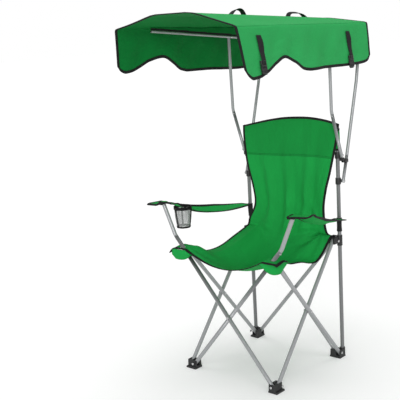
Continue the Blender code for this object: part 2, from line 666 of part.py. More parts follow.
def clip(name, side):
    """The fork behind the upper bracket that the raised rear pole snaps into."""
    place = mirrored(side)
    pole_y = pole_point(CLIP_Z)
    half = POLE_RADIUS + SLOT_GAP
    front = POST_Y + POST_RADIUS + COLLAR_WALL + LUG_REACH + FIT_GAP
    low = (POLE_X - half - CLIP_ARM, front, CLIP_Z - CLIP_HALF_HEIGHT)
    high = (POLE_X + half + CLIP_ARM, pole_y + CLIP_REACH, CLIP_Z + CLIP_HALF_HEIGHT)
    made = box(name, low, high, BLACK, place)
    bevelled(made, MOULD_BEVEL / 2)
    lean = Vector((0, REAR_POLE_KNEE[0] - LOWER_PIVOT[0], REAR_POLE_KNEE[1] - LOWER_PIVOT[1])).normalized()
    middle = Vector((POLE_X, pole_y, CLIP_Z))
    reach = lean * (CLIP_HALF_HEIGHT + OVERRUN)
    seat = rod(name + "_seat", middle - reach, middle + reach, half / math.cos(math.pi / ROUND_SIDES), place=place)
    boolean(made, seat)
    mouth = box(
        name + "_mouth",
        (-half, 0, -CLIP_HALF_HEIGHT - OVERRUN),
        (half, CLIP_REACH + OVERRUN, CLIP_HALF_HEIGHT + OVERRUN),
        place=place @ Matrix.Translation(middle) @ lean.to_track_quat("Z", "Y").to_matrix().to_4x4(),
    )
    boolean(made, mouth)
    return made


def smooth_through(stations, values, at):
    """A value that passes through stations and eases from one to the next."""
    for low, high, first, last in zip(stations, stations[1:], values, values[1:]):
        if at <= high:
            share = max(0.0, (at - low) / (high - low))
            return first + (last - first) * share * share * (3 - 2 * share)
    return values[-1]


def line_through(stations, values, at):
    """A value on straight lines between stations."""
    for low, high, first, last in zip(stations, stations[1:], values, values[1:]):
        if at <= high:
            return first + (last - first) * (at - low) / (high - low)
    return values[-1]


def cloth(name, rows, thickness, look):
    """A closed sheet of cloth through rows of points: a grid whose points are moved into place."""
    across = len(rows[0])
    shape = bmesh.new()
    bmesh.ops.create_grid(shape, x_segments=across - 1, y_segments=len(rows) - 1, size=1.0)
    shape.verts.ensure_lookup_table()
    ordered = sorted(shape.verts, key=lambda v: (round(v.co.y, 4), round(v.co.x, 4)))
    targets = [Vector(point) for row in rows for point in row]
    for corner, target in zip(ordered, targets):
        corner.co = target
    made = from_bmesh(name, shape, look)
    shell = made.modifiers.new("cloth", "SOLIDIFY")
    shell.thickness = thickness
    shell.offset = 0.0
    return made


def roof_point(column, share):
    """The roof at a share of its length. Columns run from a hem over the roof to the other hem."""
    side = 1 if column > 0 else -1
    step = abs(column)
    seam_y = ROOF_FRONT_Y + share * (ROOF_REAR_Y - ROOF_FRONT_Y)
    half = ROOF_FRONT_HALF_WIDTH + share * (ROOF_REAR_HALF_WIDTH - ROOF_FRONT_HALF_WIDTH)
    seam_z = SEAM_FRONT_Z + share * (SEAM_REAR_Z - SEAM_FRONT_Z)
    rise = CROWN_FRONT_RISE + share * (CROWN_REAR_RISE - CROWN_FRONT_RISE)
    if step <= 1:
        return Vector((side * step * CROWN_HALF_WIDTH, seam_y, seam_z + rise))
    if step <= 2:
        slope = step - 1
        x = CROWN_HALF_WIDTH + slope * (half - CROWN_HALF_WIDTH)
        return Vector((side * x, seam_y, seam_z + rise * (1 - slope)))
    down = step - 2
    drop = WALL_DROP * smooth_through(HEM_STATION_SHARES, HEM_RIGHT_DROP_SHARES if side > 0 else HEM_LEFT_DROP_SHARES, share)
    slant = WALL_FRONT_SLANT * max(0.0, 1 - share / HEM_STATION_SHARES[5]) * drop / WALL_DROP
    flare = WALL_FLARE * (1 - share / 2) * drop / WALL_DROP
    return Vector((side * (half + down * flare), seam_y + down * slant, seam_z - down * drop))


def canopy(name):
    """The canopy: flat crown, two slopes and two flared walls with a scalloped hem."""
    columns = (-3, -2.67, -2.33, -2, -1.5, -1, 0, 1, 1.5, 2, 2.33, 2.67, 3)
    rows = []
    for share in HEM_STATION_SHARES:
        rows.append([roof_point(column, share) for column in columns])
    return cloth(name, rows, FABRIC, GREEN)


def rail_sleeve(name, side):
    """The webbing strip that hangs the roof on its rail."""
    half = SLEEVE_THICKNESS / 2
    rear_y = REAR_POLE_TOP[0] + RAIL_REAR_REACH
    rows = []
    for y in (RAIL_FRONT_Y, rear_y):
        share = (y - ROOF_FRONT_Y) / (ROOF_REAR_Y - ROOF_FRONT_Y)
        width = ROOF_FRONT_HALF_WIDTH + share * (ROOF_REAR_HALF_WIDTH - ROOF_FRONT_HALF_WIDTH)
        slope = (RAIL_X + half - CROWN_HALF_WIDTH) / (width - CROWN_HALF_WIDTH)
        roof = roof_point(1 + slope, share).z
        low = rail_height(y) + RAIL_RADIUS + FIT_GAP
        rows.append([Vector((side * RAIL_X, y, low)), Vector((side * RAIL_X, y, roof - FABRIC / 2 - 2 * FIT_GAP))])
    return cloth(name, rows, SLEEVE_THICKNESS, WEB)


def sling_point(station, across):
    """The sling at a station, from its centre (0) to its edge (1 or -1)."""
    index = range(len(SLING_CENTRE_DEPTH_SHARES))
    depth = SLING_BACK_Y * line_through(index, SLING_CENTRE_DEPTH_SHARES, station)
    rise = SLING_RISE * line_through(index, SLING_CENTRE_RISE_SHARES, station)
    half = SLING_HALF_WIDTH * line_through(index, SLING_EDGE_WIDTH_SHARES, station)
    if across < 0 and station == SLING_WAIST_STATION:
        half *= SLING_LEFT_WAIST_SHARE
    edge_depth = SLING_BACK_Y * line_through(index, SLING_EDGE_DEPTH_SHARES, station)
    edge_rise_shares = SLING_RIGHT_RISE_SHARES if across > 0 else SLING_LEFT_RISE_SHARES
    edge_rise = SLING_RISE * line_through(index, edge_rise_shares, station)
    bow_share = SLING_HEM_SHARE + (1 - SLING_HEM_SHARE) * max(0.0, min(1.0, station - SLING_WAIST_STATION))
    bow = min(1.0, (across / bow_share) ** 2)
    last = len(SLING_CENTRE_DEPTH_SHARES) - 1
    fold = FOLD_DEPTH * math.cos(FOLD_COUNT * math.pi * across) * (1 - bow) * math.sin(math.pi * station / last)
    y = depth + (edge_depth - depth) * bow + fold * min(1.0, station / last)
    z = SLING_CORNER_Z + rise + (edge_rise - rise) * bow + fold * (1 - station / last)
    return Vector((half * across, y, z))


def sling(name):
    """The one-piece seat and back, hung from the hubs, the sliders and the tops of the posts."""
    half_columns = [SLING_HEM_SHARE * share for share in SLING_COLUMN_SHARES] + [1.0]
    columns = [-across for across in reversed(half_columns[1:])] + half_columns
    rows = []
    for station in range(len(SLING_CENTRE_DEPTH_SHARES)):
        rows.append([sling_point(station, across) for across in columns])
    made = cloth(name, rows, SEAT_THICKNESS, GREEN)
    half = TUBE_RADIUS + SLOT_GAP + FIT_GAP
    middle = PIVOT_REACH + (SLING_CORNER_Z - HUB_PIVOT_Z) / math.tan(TUBE_SLOPE)
    reach = TUBE_RADIUS / math.sin(TUBE_SLOPE) + SEAT_THICKNESS / math.tan(TUBE_SLOPE) / 2 + SLOT_GAP + FIT_GAP
    for label, side, plane in (("left", -1, CORNER + PLANE_OFFSET), ("right", 1, CORNER - PLANE_OFFSET)):
        low = (middle - reach, -plane - half, SLING_CORNER_Z - HUB_HALF_HEIGHT)
        high = (middle + reach, -plane + half, SLING_CORNER_Z + HUB_HALF_HEIGHT)
        boolean(made, box(f"{name}_slot_{label}", low, high, place=mirrored(side)))
    return made


def arm_tube_top():
    """The end of the left arm tube, in the plane of the outer front tube."""
    run = PIVOT_REACH + math.cos(TUBE_SLOPE) * ARM_BEND_REACH + math.tan(ARM_LEAN) * ARM_RISE
    rise = HUB_PIVOT_Z + math.sin(TUBE_SLOPE) * ARM_BEND_REACH + ARM_RISE
    return run, rise


def arm_height():
    """Height of the middle of the arm strip where it lies on the tube's cap."""
    cap = TUBE_RADIUS * math.sin(ARM_LEAN) / 2 + CAP_HEIGHT * math.cos(ARM_LEAN)
    return arm_tube_top()[1] + cap + SEAT_THICKNESS / 2 + 2 * FIT_GAP


def arm_point(side, share, across):
    """An arm strip at a share of its length, from its inner edge (-1) to its outer edge (1)."""
    rear_y = POST_Y - POST_RADIUS - LOOP_GAP - WEBBING / 2
    width = ARM_FRONT_WIDTH + share * (ARM_REAR_WIDTH - ARM_FRONT_WIDTH)
    if share == 0:
        width *= 0.8
    x = ARM_FRONT_X + share * (ARM_REAR_X - ARM_FRONT_X) + across * width / 2
    drop, drop_shares = (ARM_RIGHT_DROP, ARM_RIGHT_DROP_SHARES) if side > 0 else (ARM_LEFT_DROP, ARM_LEFT_DROP_SHARES)
    z = arm_height() - drop * smooth_through(ARM_STATION_SHARES, drop_shares, share)
    z += ARM_TILT * across * smooth_through(ARM_STATION_SHARES, ARM_TILT_SHARES, share)
    return Vector((side * x, ARM_FRONT_Y + share * (rear_y - ARM_FRONT_Y), z))


def cup_place():
    """The cup's middle, at the height of the arm strip there."""
    rear_y = POST_Y - POST_RADIUS - LOOP_GAP - WEBBING / 2
    share = (CUP_Y - ARM_FRONT_Y) / (rear_y - ARM_FRONT_Y)
    return arm_point(-1, share, 0) - Vector((CUP_OUTSET, 0, CUP_SINK))


def arm_strip(name, side, holds_cup):
    """A padded arm strip from the top of an arm tube back to its webbing loop round the post."""
    rows = [[arm_point(side, share, across) for across in (-1, -0.33, 0.33, 1)] for share in ARM_STATION_SHARES]
    made = cloth(name, rows, SEAT_THICKNESS, GREEN)
    top = arm_point(side, 1, 0).z + SEAT_THICKNESS
    low = Vector((side * POST_X, POST_Y, top - LOOP_HEIGHT))
    high = Vector((side * POST_X, POST_Y, top))
    over = Vector((0, 0, OVERRUN))
    reach = POST_RADIUS + LOOP_GAP
    boolean(made, rod(name + "_loop", low, high, reach + WEBBING), "UNION")
    boolean(made, rod(name + "_bore", low - over, high + over, reach))
    if holds_cup:
        middle = cup_place()
        reach = Vector((0, 0, CUP_DEPTH / 2))
        radius = CUP_RIM_RADIUS + SLOT_GAP + FIT_GAP
        boolean(made, rod(name + "_hole", middle - reach, middle + reach, radius, sides=2 * ROUND_SIDES))
    return made


def cup_holder(name):
    """The cup holder: a band round its mouth and a tapered net cup with a flat floor."""
    half = CUP_RIM_HEIGHT / 2
    profile = (
        (0, -CUP_DEPTH + CUP_WALL),
        (CUP_FLOOR_RADIUS - CUP_WALL, -CUP_DEPTH + CUP_WALL),
        (CUP_TOP_RADIUS - CUP_WALL, -half),
        (CUP_TOP_RADIUS - CUP_WALL, half),
        (CUP_RIM_RADIUS, half),
        (CUP_RIM_RADIUS, -half),
        (CUP_TOP_RADIUS, -half - CUP_WALL),
        (CUP_FLOOR_RADIUS, -CUP_DEPTH),
        (0, -CUP_DEPTH),
    )
    made = turned(name, profile, MESH, sides=2 * ROUND_SIDES)
    made.data.transform(Matrix.Translation(cup_place()))
    return made


def band(name, points, width_axis, width, look):
    """A webbing band along a path, of one width and thickness."""
    half = Vector(width_axis) * (width / 2)
    rows = [[point - half, point + half] for point in points]
    return cloth(name, rows, WEBBING, look)


def handle(name, y):
    """A carry handle: a bowed band sewn flat to the crown at both ends."""
    share = (y - ROOF_FRONT_Y) / (ROOF_REAR_Y - ROOF_FRONT_Y)
    lift = FABRIC / 2 + WEBBING / 2 + 2 * FIT_GAP
    points = []
    for step in range(9):
        along = step / 4 - 1
        arch = max(0.0, 1 - (abs(along) / 0.8) ** 2)
        place_y = y + along * HANDLE_SPAN / 2
        local = share + (place_y - y) / (ROOF_REAR_Y - ROOF_FRONT_Y)
        ground = roof_point(0, local).z + lift
        points.append(Vector((0, place_y, ground + HANDLE_HEIGHT * arch)))
    return band(name, points, (1, 0, 0), WEBBING_WIDTH, WEB)


def wall_strap(name, y, length):
    """A strap down the right wall with its side-release buckle."""
    share = (y - ROOF_FRONT_Y) / (ROOF_REAR_Y - ROOF_FRONT_Y)
    drop = WALL_DROP * smooth_through(HEM_STATION_SHARES, HEM_RIGHT_DROP_SHARES, share)
    top = roof_point(2, share)
    hem = roof_point(3, share)
    down = (hem - top).normalized()
    out = Vector((0, 1, 0)).cross(down).normalized()
    if out.x < 0:
        out = -out
    lift = out * (FABRIC / 2 + WEBBING / 2 + 4 * FIT_GAP)
    start = drop / 5
    points = [top + down * (start + (length - start) * step / 3) + lift for step in range(4)]
    made = band(name, points, (0, 1, 0), STRAP_WIDTH, WEB)
    middle = points[-1] - down * BUCKLE_LENGTH * 0.6 + out * BUCKLE_THICKNESS / 2
    turn = Matrix((Vector((0, 1, 0)), out, down)).transposed().to_4x4()
    half = Vector((STRAP_WIDTH * 0.62, BUCKLE_THICKNESS / 2, BUCKLE_LENGTH / 2))
    buckle = box(name + "_buckle", -half, half, place=Matrix.Translation(middle) @ turn)
    bevelled(buckle, MOULD_BEVEL)
    boolean(made, buckle, "UNION")
    return made


def gather(joint, at, pieces):
    """Puts an empty on a joint's axis and hangs the body's pieces on it."""
    empty = bpy.data.objects.new(joint, None)
    empty.location = at
    empty.parent = bpy.data.objects[STAND]
    bpy.data.collections[PARTS].objects.link(empty)
    for piece in pieces:
        piece.parent = empty
        piece.matrix_parent_inverse = Matrix.Translation(at).inverted()


def build_frame():
    """The four feet, hubs and sliders, eight cross tubes and two posts, body by body."""
    inner = CORNER - PLANE_OFFSET
    outer = CORNER + PLANE_OFFSET
    reach = PIVOT_REACH
    low = FOOT_PIVOT_Z
    high = HUB_PIVOT_Z
    gather("rear_outer_axis", (-reach, outer, low), [cross_tube("tube_rear_outer", 2, True), crossing_rivet("rivet_rear", 2)])
    gather("rear_inner_axis", (0, CORNER, CROSSING_Z), [cross_tube("tube_rear_inner", 2, False)])
    gather("slider_right_axis", (reach, outer, high), [slider("slider_rear_right", 2)])
    gather("slider_left_axis", (-reach, inner, high), [slider("slider_rear_left", 3)])
    gather("left_inner_axis", (-inner, reach, low), [cross_tube("tube_left_inner", 3, False), crossing_rivet("rivet_left", 3)])
    gather("left_outer_axis", (-CORNER, 0, CROSSING_Z), [cross_tube("tube_left_outer", 3, True)])
    gather("foot_front_left_axis", (-outer, -reach, low), [foot("foot_front_left", 0, False)])
    gather("hub_left_axis", (-inner, -reach, high), [left_hub("hub_front_left"), cup_holder("cup_holder")])
    gather("right_outer_axis", (outer, reach, low), [cross_tube("tube_right_outer", 1, True), crossing_rivet("rivet_right", 1)])
    gather("right_inner_axis", (CORNER, 0, CROSSING_Z), [cross_tube("tube_right_inner", 1, False)])
    gather("foot_front_right_axis", (inner, -reach, low), [foot("foot_front_right", 1, False)])
    gather("hub_right_axis", (outer, -reach, high), [right_hub("hub_front_right")])
    run, rise = arm_tube_top()
    lean = Vector((math.tan(ARM_LEAN), 0, 1))
    cap_right = tube_cap("arm_cap_right", (run, -inner, rise), lean, TUBE_RADIUS, TUBE_WALL)
    lean.x = -lean.x
    cap_left = tube_cap("arm_cap_left", (-run, -outer, rise), lean, TUBE_RADIUS, TUBE_WALL)
    front_inner = cross_tube("tube_front_inner", 0, False, with_arm=True)
    gather("front_inner_axis", (-reach, -inner, low), [front_inner, crossing_rivet("rivet_front", 0), cap_right])
    gather("front_outer_axis", (0, -CORNER, CROSSING_Z), [cross_tube("tube_front_outer", 0, True, with_arm=True), cap_left])


def build_post(label, side, turns):
    """A rear foot with its post, the post's cap and the canopy's brackets."""
    base = FOOT_TOP + SLEEVE_WALL - SOCKET_DEPTH + FIT_GAP
    ends = [Vector((side * POST_X, POST_Y, z)) for z in (base, POST_TOP)]
    return [
        foot(f"foot_rear_{label}", turns, True),
        tube(f"post_{label}", ends, POST_RADIUS, TUBE_WALL, SILVER),
        tube_cap(f"post_cap_{label}", ends[1], (0, 0, 1), POST_RADIUS, TUBE_WALL),
        collar(f"bracket_upper_{label}", side, UPPER_PIVOT, True),
        collar(f"bracket_lower_{label}", side, LOWER_PIVOT, False),
        clip(f"canopy_clip_{label}", side),
        pivot_pin(f"pivot_pin_upper_{label}", side, UPPER_PIVOT),
        pivot_pin(f"pivot_pin_lower_{label}", side, LOWER_PIVOT),
        arm_strip(f"arm_strip_{label}", side, label == "left"),
    ]


def build_linkage(label, side):
    """One side of the canopy linkage: front pole, rail with its sleeve, rear pole."""
    front = pole(f"canopy_front_pole_{label}", side, (UPPER_PIVOT, FRONT_POLE_BEND, FRONT_POLE_TOP), (UPPER_PIVOT, FRONT_POLE_TOP))
    gather(f"front_pole_axis_{label}", (side * POLE_X, *UPPER_PIVOT), [front])
    corners = (LOWER_PIVOT, REAR_POLE_KNEE, REAR_POLE_BEND, REAR_POLE_TOP)
    rear = pole(f"canopy_rear_pole_{label}", side, corners, (LOWER_PIVOT, REAR_POLE_TOP))
    rivet = rail_rivet(f"rail_rivet_rear_{label}", side, REAR_POLE_TOP, False)
    gather(f"rear_pole_axis_{label}", (side * POLE_X, *LOWER_PIVOT), [rear, rivet])
    pieces = [
        rail(f"canopy_rail_{label}", side),
        rail_rivet(f"rail_rivet_front_{label}", side, FRONT_POLE_TOP, True),
        rail_sleeve(f"rail_sleeve_{label}", side),
    ]
    if side < 0:
        pieces += [canopy("canopy_fabric"), handle("canopy_handle_front", HANDLE_FRONT_Y), handle("canopy_handle_rear", HANDLE_REAR_Y)]
    else:
        pieces += [
            wall_strap("canopy_strap_front", STRAP_FRONT_Y, STRAP_FRONT_DROP),
            wall_strap("canopy_strap_rear", STRAP_REAR_Y, STRAP_REAR_DROP),
        ]
    gather(f"rail_axis_{label}", (side * RAIL_X, *FRONT_POLE_TOP), pieces)


def main():
    """Builds the chair, standing open with its canopy raised."""
    clear_scene()
    build_frame()
    sling("seat_back_sling")
    build_post("left", -1, 3)
    right = build_post("right", 1, 2)
    gather("post_right_axis", (PIVOT_REACH, CORNER - PLANE_OFFSET, FOOT_PIVOT_Z), right)
    for label, side in (("left", -1), ("right", 1)):
        build_linkage(label, side)


main()
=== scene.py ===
"""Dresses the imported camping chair.

Round tubes, domed rivets, sewn cloth and its binding, a net cup holder, finishes, floor, light and camera.
"""

import json
import logging
import math
from dataclasses import dataclass, field
from enum import Enum
from typing import Callable, Iterable, Optional, Sequence, Union

import bmesh
import bpy
from mathutils import Matrix, Vector

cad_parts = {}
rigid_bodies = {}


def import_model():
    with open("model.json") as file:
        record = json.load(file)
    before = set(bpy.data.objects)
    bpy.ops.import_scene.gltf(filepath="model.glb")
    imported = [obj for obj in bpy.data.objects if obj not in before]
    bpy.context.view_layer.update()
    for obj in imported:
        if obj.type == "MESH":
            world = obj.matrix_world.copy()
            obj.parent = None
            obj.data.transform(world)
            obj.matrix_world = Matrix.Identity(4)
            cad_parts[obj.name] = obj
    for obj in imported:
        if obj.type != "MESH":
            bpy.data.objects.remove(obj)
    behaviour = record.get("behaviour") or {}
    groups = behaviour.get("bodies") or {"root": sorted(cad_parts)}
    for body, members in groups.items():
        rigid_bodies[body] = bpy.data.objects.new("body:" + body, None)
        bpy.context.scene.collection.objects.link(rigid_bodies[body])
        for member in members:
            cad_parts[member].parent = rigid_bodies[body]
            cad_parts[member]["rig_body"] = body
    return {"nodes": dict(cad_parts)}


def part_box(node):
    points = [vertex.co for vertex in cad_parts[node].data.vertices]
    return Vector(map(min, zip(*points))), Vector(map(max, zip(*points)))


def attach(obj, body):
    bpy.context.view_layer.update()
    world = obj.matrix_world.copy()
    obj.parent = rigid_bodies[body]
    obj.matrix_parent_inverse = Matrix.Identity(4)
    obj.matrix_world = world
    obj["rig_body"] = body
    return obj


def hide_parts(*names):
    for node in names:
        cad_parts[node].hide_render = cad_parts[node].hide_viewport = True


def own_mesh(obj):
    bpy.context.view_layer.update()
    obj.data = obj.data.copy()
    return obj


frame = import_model()

LOG = logging.getLogger("camping_chair")
STAND_SHIFT = Vector((0.0, 0.026, 0.0))
Colour = tuple[float, float, float, float]
SEAT_GREEN: Colour = (0.014, 0.420, 0.078, 1.0)
SEAT_SHADE: Colour = (0.010, 0.300, 0.054, 1.0)
ROOF_GREEN: Colour = (0.037, 0.420, 0.116, 1.0)
ROOF_SHADE: Colour = (0.026, 0.350, 0.086, 1.0)
# The roof's underside: the roof cloth darkened as painted shade under the canopy.
SHADED_UNDERSIDE_GREEN: Colour = (0.004, 0.230, 0.042, 1.0)
SHADED_UNDERSIDE_DARK: Colour = (0.003, 0.165, 0.030, 1.0)
TAPE_BLACK: Colour = (0.0045, 0.0046, 0.0050, 1.0)
TAPE_THREAD: Colour = (0.026, 0.026, 0.028, 1.0)
WEB_BLACK: Colour = (0.0085, 0.0085, 0.0090, 1.0)
WEB_THREAD: Colour = (0.040, 0.040, 0.042, 1.0)
NET_GREY: Colour = (0.52, 0.53, 0.53, 1.0)
TUBE_SILVER: Colour = (0.40, 0.41, 0.42, 1.0)
# The posts' coat: the tube silver darkened as painted shade.
SHADED_POST_SILVER: Colour = (0.215, 0.22, 0.225, 1.0)
SCUFF_GREY: Colour = (0.20, 0.20, 0.21, 1.0)
MOULDED_BLACK: Colour = (0.0085, 0.0086, 0.0090, 1.0)
RIVET_ZINC: Colour = (0.66, 0.66, 0.67, 1.0)
POST_PLACE = 0.2285
TUBE_SIDES = 28
SMOOTH_ALL_OVER = 180.0
SIDE_LABELS = ("front", "right", "rear", "left")
Surface = Callable[[float, float], Vector]


class Side(Enum):
    """The chair's two sides, seen from the one who sits in it: LEFT is -x."""

    LEFT = -1
    RIGHT = 1

    @property
    def label(self) -> str:
        """The side's word in the node names."""
        return self.name.lower()


class Wire:
    """One value in a shader. An expression on it adds its Math nodes."""

    def __init__(self, graph: "Graph", socket: bpy.types.NodeSocket) -> None:
        """Wraps a socket of a graph."""
        self.graph = graph
        self.socket = socket

    def _math(self, operation: str, first: "Operand", second: "Operand" = 0.0) -> "Wire":
        """Adds one Math node."""
        return self.graph.add("ShaderNodeMath", {"operation": operation}, {0: first, 1: second})

    def __add__(self, other: "Operand") -> "Wire":
        """self + other"""
        return self._math("ADD", self, other)

    def __radd__(self, other: float) -> "Wire":
        """other + self"""
        return self._math("ADD", other, self)

    def __sub__(self, other: "Operand") -> "Wire":
        """self - other"""
        return self._math("SUBTRACT", self, other)

    def __rsub__(self, other: float) -> "Wire":
        """other - self"""
        return self._math("SUBTRACT", other, self)

    def __mul__(self, other: "Operand") -> "Wire":
        """self * other"""
        return self._math("MULTIPLY", self, other)

    def __truediv__(self, other: "Operand") -> "Wire":
        """self / other"""
        return self._math("DIVIDE", self, other)

    def __lt__(self, other: "Operand") -> "Wire":
        """1 where self is below other, else 0"""
        return self._math("LESS_THAN", self, other)

    def sine(self) -> "Wire":
        """The sine of the value."""
        return self._math("SINE", self)

    def size(self) -> "Wire":
        """The value without its sign."""
        return self._math("ABSOLUTE", self)

    def part(self) -> "Wire":
        """The value's fraction."""
        return self._math("FRACT", self)

    def at_most(self, other: "Operand") -> "Wire":
        """The lesser of the two."""
        return self._math("MINIMUM", self, other)

    def at_least(self, other: "Operand") -> "Wire":
        """The greater of the two."""
        return self._math("MAXIMUM", self, other)


Operand = Union[Wire, float]


class Graph:
    """A material's nodes."""

    def __init__(self, name: str) -> None:
        """Starts a material with an empty tree.

        Args:
            name: the material's name.
        """
        self.material = bpy.data.materials.new(name)
        self.material.use_nodes = True
        self.tree = self.material.node_tree
        self.tree.nodes.clear()

    def add(
        self,
        kind: str,
        settings: Optional[dict] = None,
        inputs: Optional[dict] = None,
        output: Union[int, str] = 0,
    ) -> Wire:
        """Adds a node.

        Args:
            kind: the node's type.
            settings: its properties, and "stops" for a ramp's places and colours.
            inputs: values or wires by socket.
            output: the output that is returned.

        Returns:
            The chosen output.
        """
        node = self.tree.nodes.new(kind)
        for key, value in (settings or {}).items():
            if key == "stops":
                for place, colour in value[len(node.color_ramp.elements):]:
                    node.color_ramp.elements.new(place)
                for element, (place, colour) in zip(node.color_ramp.elements, value):
                    element.position = place
                    element.color = colour
            else:
                setattr(node, key, value)
        for key, value in (inputs or {}).items():
            if isinstance(value, Wire):
                self.tree.links.new(value.socket, node.inputs[key])
            else:
                node.inputs[key].default_value = value
        return Wire(self, node.outputs[output]) if len(node.outputs) else Wire(self, node.inputs[0])

    def mix(self, share: Operand, first: Union[Wire, Colour], second: Union[Wire, Colour]) -> Wire:
        """Mixes two colours.

        Args:
            share: how much of the second.
            first: colour at 0.
            second: colour at 1.

        Returns:
            The mixed colour.
        """
        return self.add("ShaderNodeMix", {"data_type": "RGBA"}, {0: share, 6: first, 7: second}, 2)

    def noise(self, where: Wire, scale: float, detail: float = 3.0, distortion: float = 0.0) -> Wire:
        """A soft noise from 0 to 1 at that many cells to the metre."""
        inputs = {"Vector": where, "Scale": scale, "Detail": detail, "Distortion": distortion}
        return self.add("ShaderNodeTexNoise", {}, inputs)

    def stretched(self, where: Wire, scale: Sequence[float]) -> Wire:
        """Coordinates scaled apart along each axis."""
        return self.add("ShaderNodeMapping", {}, {"Vector": where, "Scale": tuple(scale)})

    def bump(self, height: Operand, distance: float, strength: float = 1.0, under: Optional[Wire] = None) -> Wire:
        """A bump of a height in metres, laid on another one where that is given."""
        inputs = {"Height": height, "Distance": distance, "Strength": strength}
        if under is not None:
            inputs["Normal"] = under
        return self.add("ShaderNodeBump", {}, inputs)

    def shade(self, **inputs: object) -> bpy.types.Material:
        """Ends the tree in a Principled shader.

        Args:
            inputs: its sockets, with _ for a space.

        Returns:
            The material.
        """
        named = {key.replace("_", " "): value for key, value in inputs.items()}
        shader = self.add("ShaderNodeBsdfPrincipled", {}, named)
        self.add("ShaderNodeOutputMaterial", {}, {"Surface": shader})
        return self.material

    def cloth_axes(self) -> tuple[Wire, Wire, Wire]:
        """A cloth's own coordinates, in metres: both together, across it and along it."""
        where = self.add("ShaderNodeTexCoord", {}, {}, "UV")
        split = self.add("ShaderNodeSeparateXYZ", {}, {0: where})
        return where, split, Wire(self, split.socket.node.outputs[1])

    def place(self) -> Wire:
        """The point in the chair's own frame, in metres."""
        return self.add("ShaderNodeTexCoord", {}, {}, "Object")


def line_mask(value: Wire, places: Iterable[float], half: float) -> Optional[Wire]:
    """A mask of thin lines.

    Args:
        value: the coordinate that the lines cross.
        places: where they are.
        half: half a line's width.

    Returns:
        1 on the lines and 0 elsewhere, or None where there are no places.
    """
    found = None
    for place in places:
        line = (value - place).size() < half
        found = line if found is None else found.at_least(line)
    return found


def tinted(colour: Colour, share: float, lift: float = 0.0) -> Colour:
    """A colour times a share, plus a lift."""
    red, green, blue = (share * part + lift for part in colour[:3])
    return (red, green, blue, 1.0)


@dataclass(frozen=True)
class ClothFinish:
    """Coated polyester cloth with its weave, soft creases whose hollows are darkened as painted shade, and sewn
    seams.
    """

    name: str
    colour: Colour
    shade: Colour
    seams_across: tuple[float, ...] = ()
    seams_along: tuple[float, ...] = ()
    double_from: float = 0.0
    seam_half: float = 0.0007
    weave: float = 0.0011
    crease: float = 0.0016
    roughness: float = 0.72

    def make(self) -> bpy.types.Material:
        """The cloth's material."""
        graph = Graph(self.name)
        where, across, along = graph.cloth_axes()
        turn = math.tau / self.weave
        threads = (across * turn).sine() * (along * turn).sine()
        cloud = graph.noise(where, 5.0, 4.0, 0.6)
        folds = graph.noise(graph.stretched(where, (9.0, 3.2, 1.0)), 1.6, 5.0, 0.9)
        mottle = graph.noise(where, 260.0, 2.0)
        # The colour mixes random tone with the crease pattern, so the crease hollows carry painted shade.
        tone_and_crease_shade = (cloud * 0.55 + folds * 0.45 - 0.5) * 1.5 + 0.5 + (mottle - 0.5) * 0.25 + threads * 0.05
        colour = graph.mix(tone_and_crease_shade.at_least(0.0).at_most(1.0), self.shade, self.colour)
        normal = graph.bump(folds, self.crease * 6, 0.55)
        normal = graph.bump(threads, 0.00010, 0.35, normal)
        if self.double_from:
            lined = 1.0 - (along < self.double_from)
            colour = graph.mix(lined * 0.30, colour, tinted(self.shade, 0.55))
        seam = line_mask(across, self.seams_across, self.seam_half)
        other = line_mask(along, self.seams_along, self.seam_half)
        if seam is None:
            seam = other
        elif other is not None:
            seam = seam.at_least(other)
        if seam is not None:
            colour = graph.mix(seam * 0.7, colour, tinted(self.colour, 0.28))
            normal = graph.bump(seam * -1.0, 0.0012, 0.8, normal)
        roughness = self.roughness + (mottle - 0.5) * 0.12
        return graph.shade(Base_Color=colour, Roughness=roughness, Normal=normal, Specular_IOR_Level=0.10)


@dataclass(frozen=True)
class WebbingFinish:
    """Woven tape with ribs and a row of stitches along each edge."""

    name: str
    colour: Colour
    thread: Colour
    rib: float = 0.0016
    width: float = 0.0
    stitch: float = 0.0042

    def make(self) -> bpy.types.Material:
        """The tape's material."""
        graph = Graph(self.name)
        where, across, along = graph.cloth_axes()
        turn = math.tau / self.rib
        ribs = (along * turn).sine() * 0.6 + (across * turn * 0.7 + along * turn * 0.7).sine() * 0.4
        dust = graph.noise(where, 40.0, 5.0)
        colour = graph.mix((dust * 0.7 + ribs * 0.12).at_least(0.0), self.colour, tinted(self.colour, 2.2, 0.002))
        normal = graph.bump(ribs, 0.00022, 0.6)
        if self.width:
            edge = (across.size() - (self.width / 2 - 0.0020)).size() < 0.0004
            dash = (along / self.stitch).part() < 0.62
            stitch = edge * dash
            colour = graph.mix(stitch, colour, self.thread)
            normal = graph.bump(stitch, 0.0003, 0.8, normal)
        roughness = 0.78 + (dust - 0.5) * 0.2
        return graph.shade(Base_Color=colour, Roughness=roughness, Normal=normal, Specular_IOR_Level=0.3)


@dataclass(frozen=True)
class NetFinish:
    """Light knitted net, open between its threads."""

    name: str
    colour: Colour
    cell: float = 0.0034
    lean: float = 0.55
    thread: float = 0.42

    def make(self) -> bpy.types.Material:
        """The net's material."""
        graph = Graph(self.name)
        where, across, along = graph.cloth_axes()
        turn = math.pi / self.cell
        first = ((across + along * self.lean) * turn).sine().size()
        second = ((across - along * self.lean) * turn).sine().size()
        strand = first.at_most(second)
        open_share = strand < self.thread
        dust = graph.noise(where, 120.0, 3.0)
        colour = graph.mix(dust, self.colour, tinted(self.colour, 0.72))
        normal = graph.bump(1.0 - strand, 0.0005, 0.6)
        material = graph.shade(Base_Color=colour, Roughness=0.6, Alpha=open_share * 0.92, Normal=normal)
        material.use_transparent_shadow = True
        return material


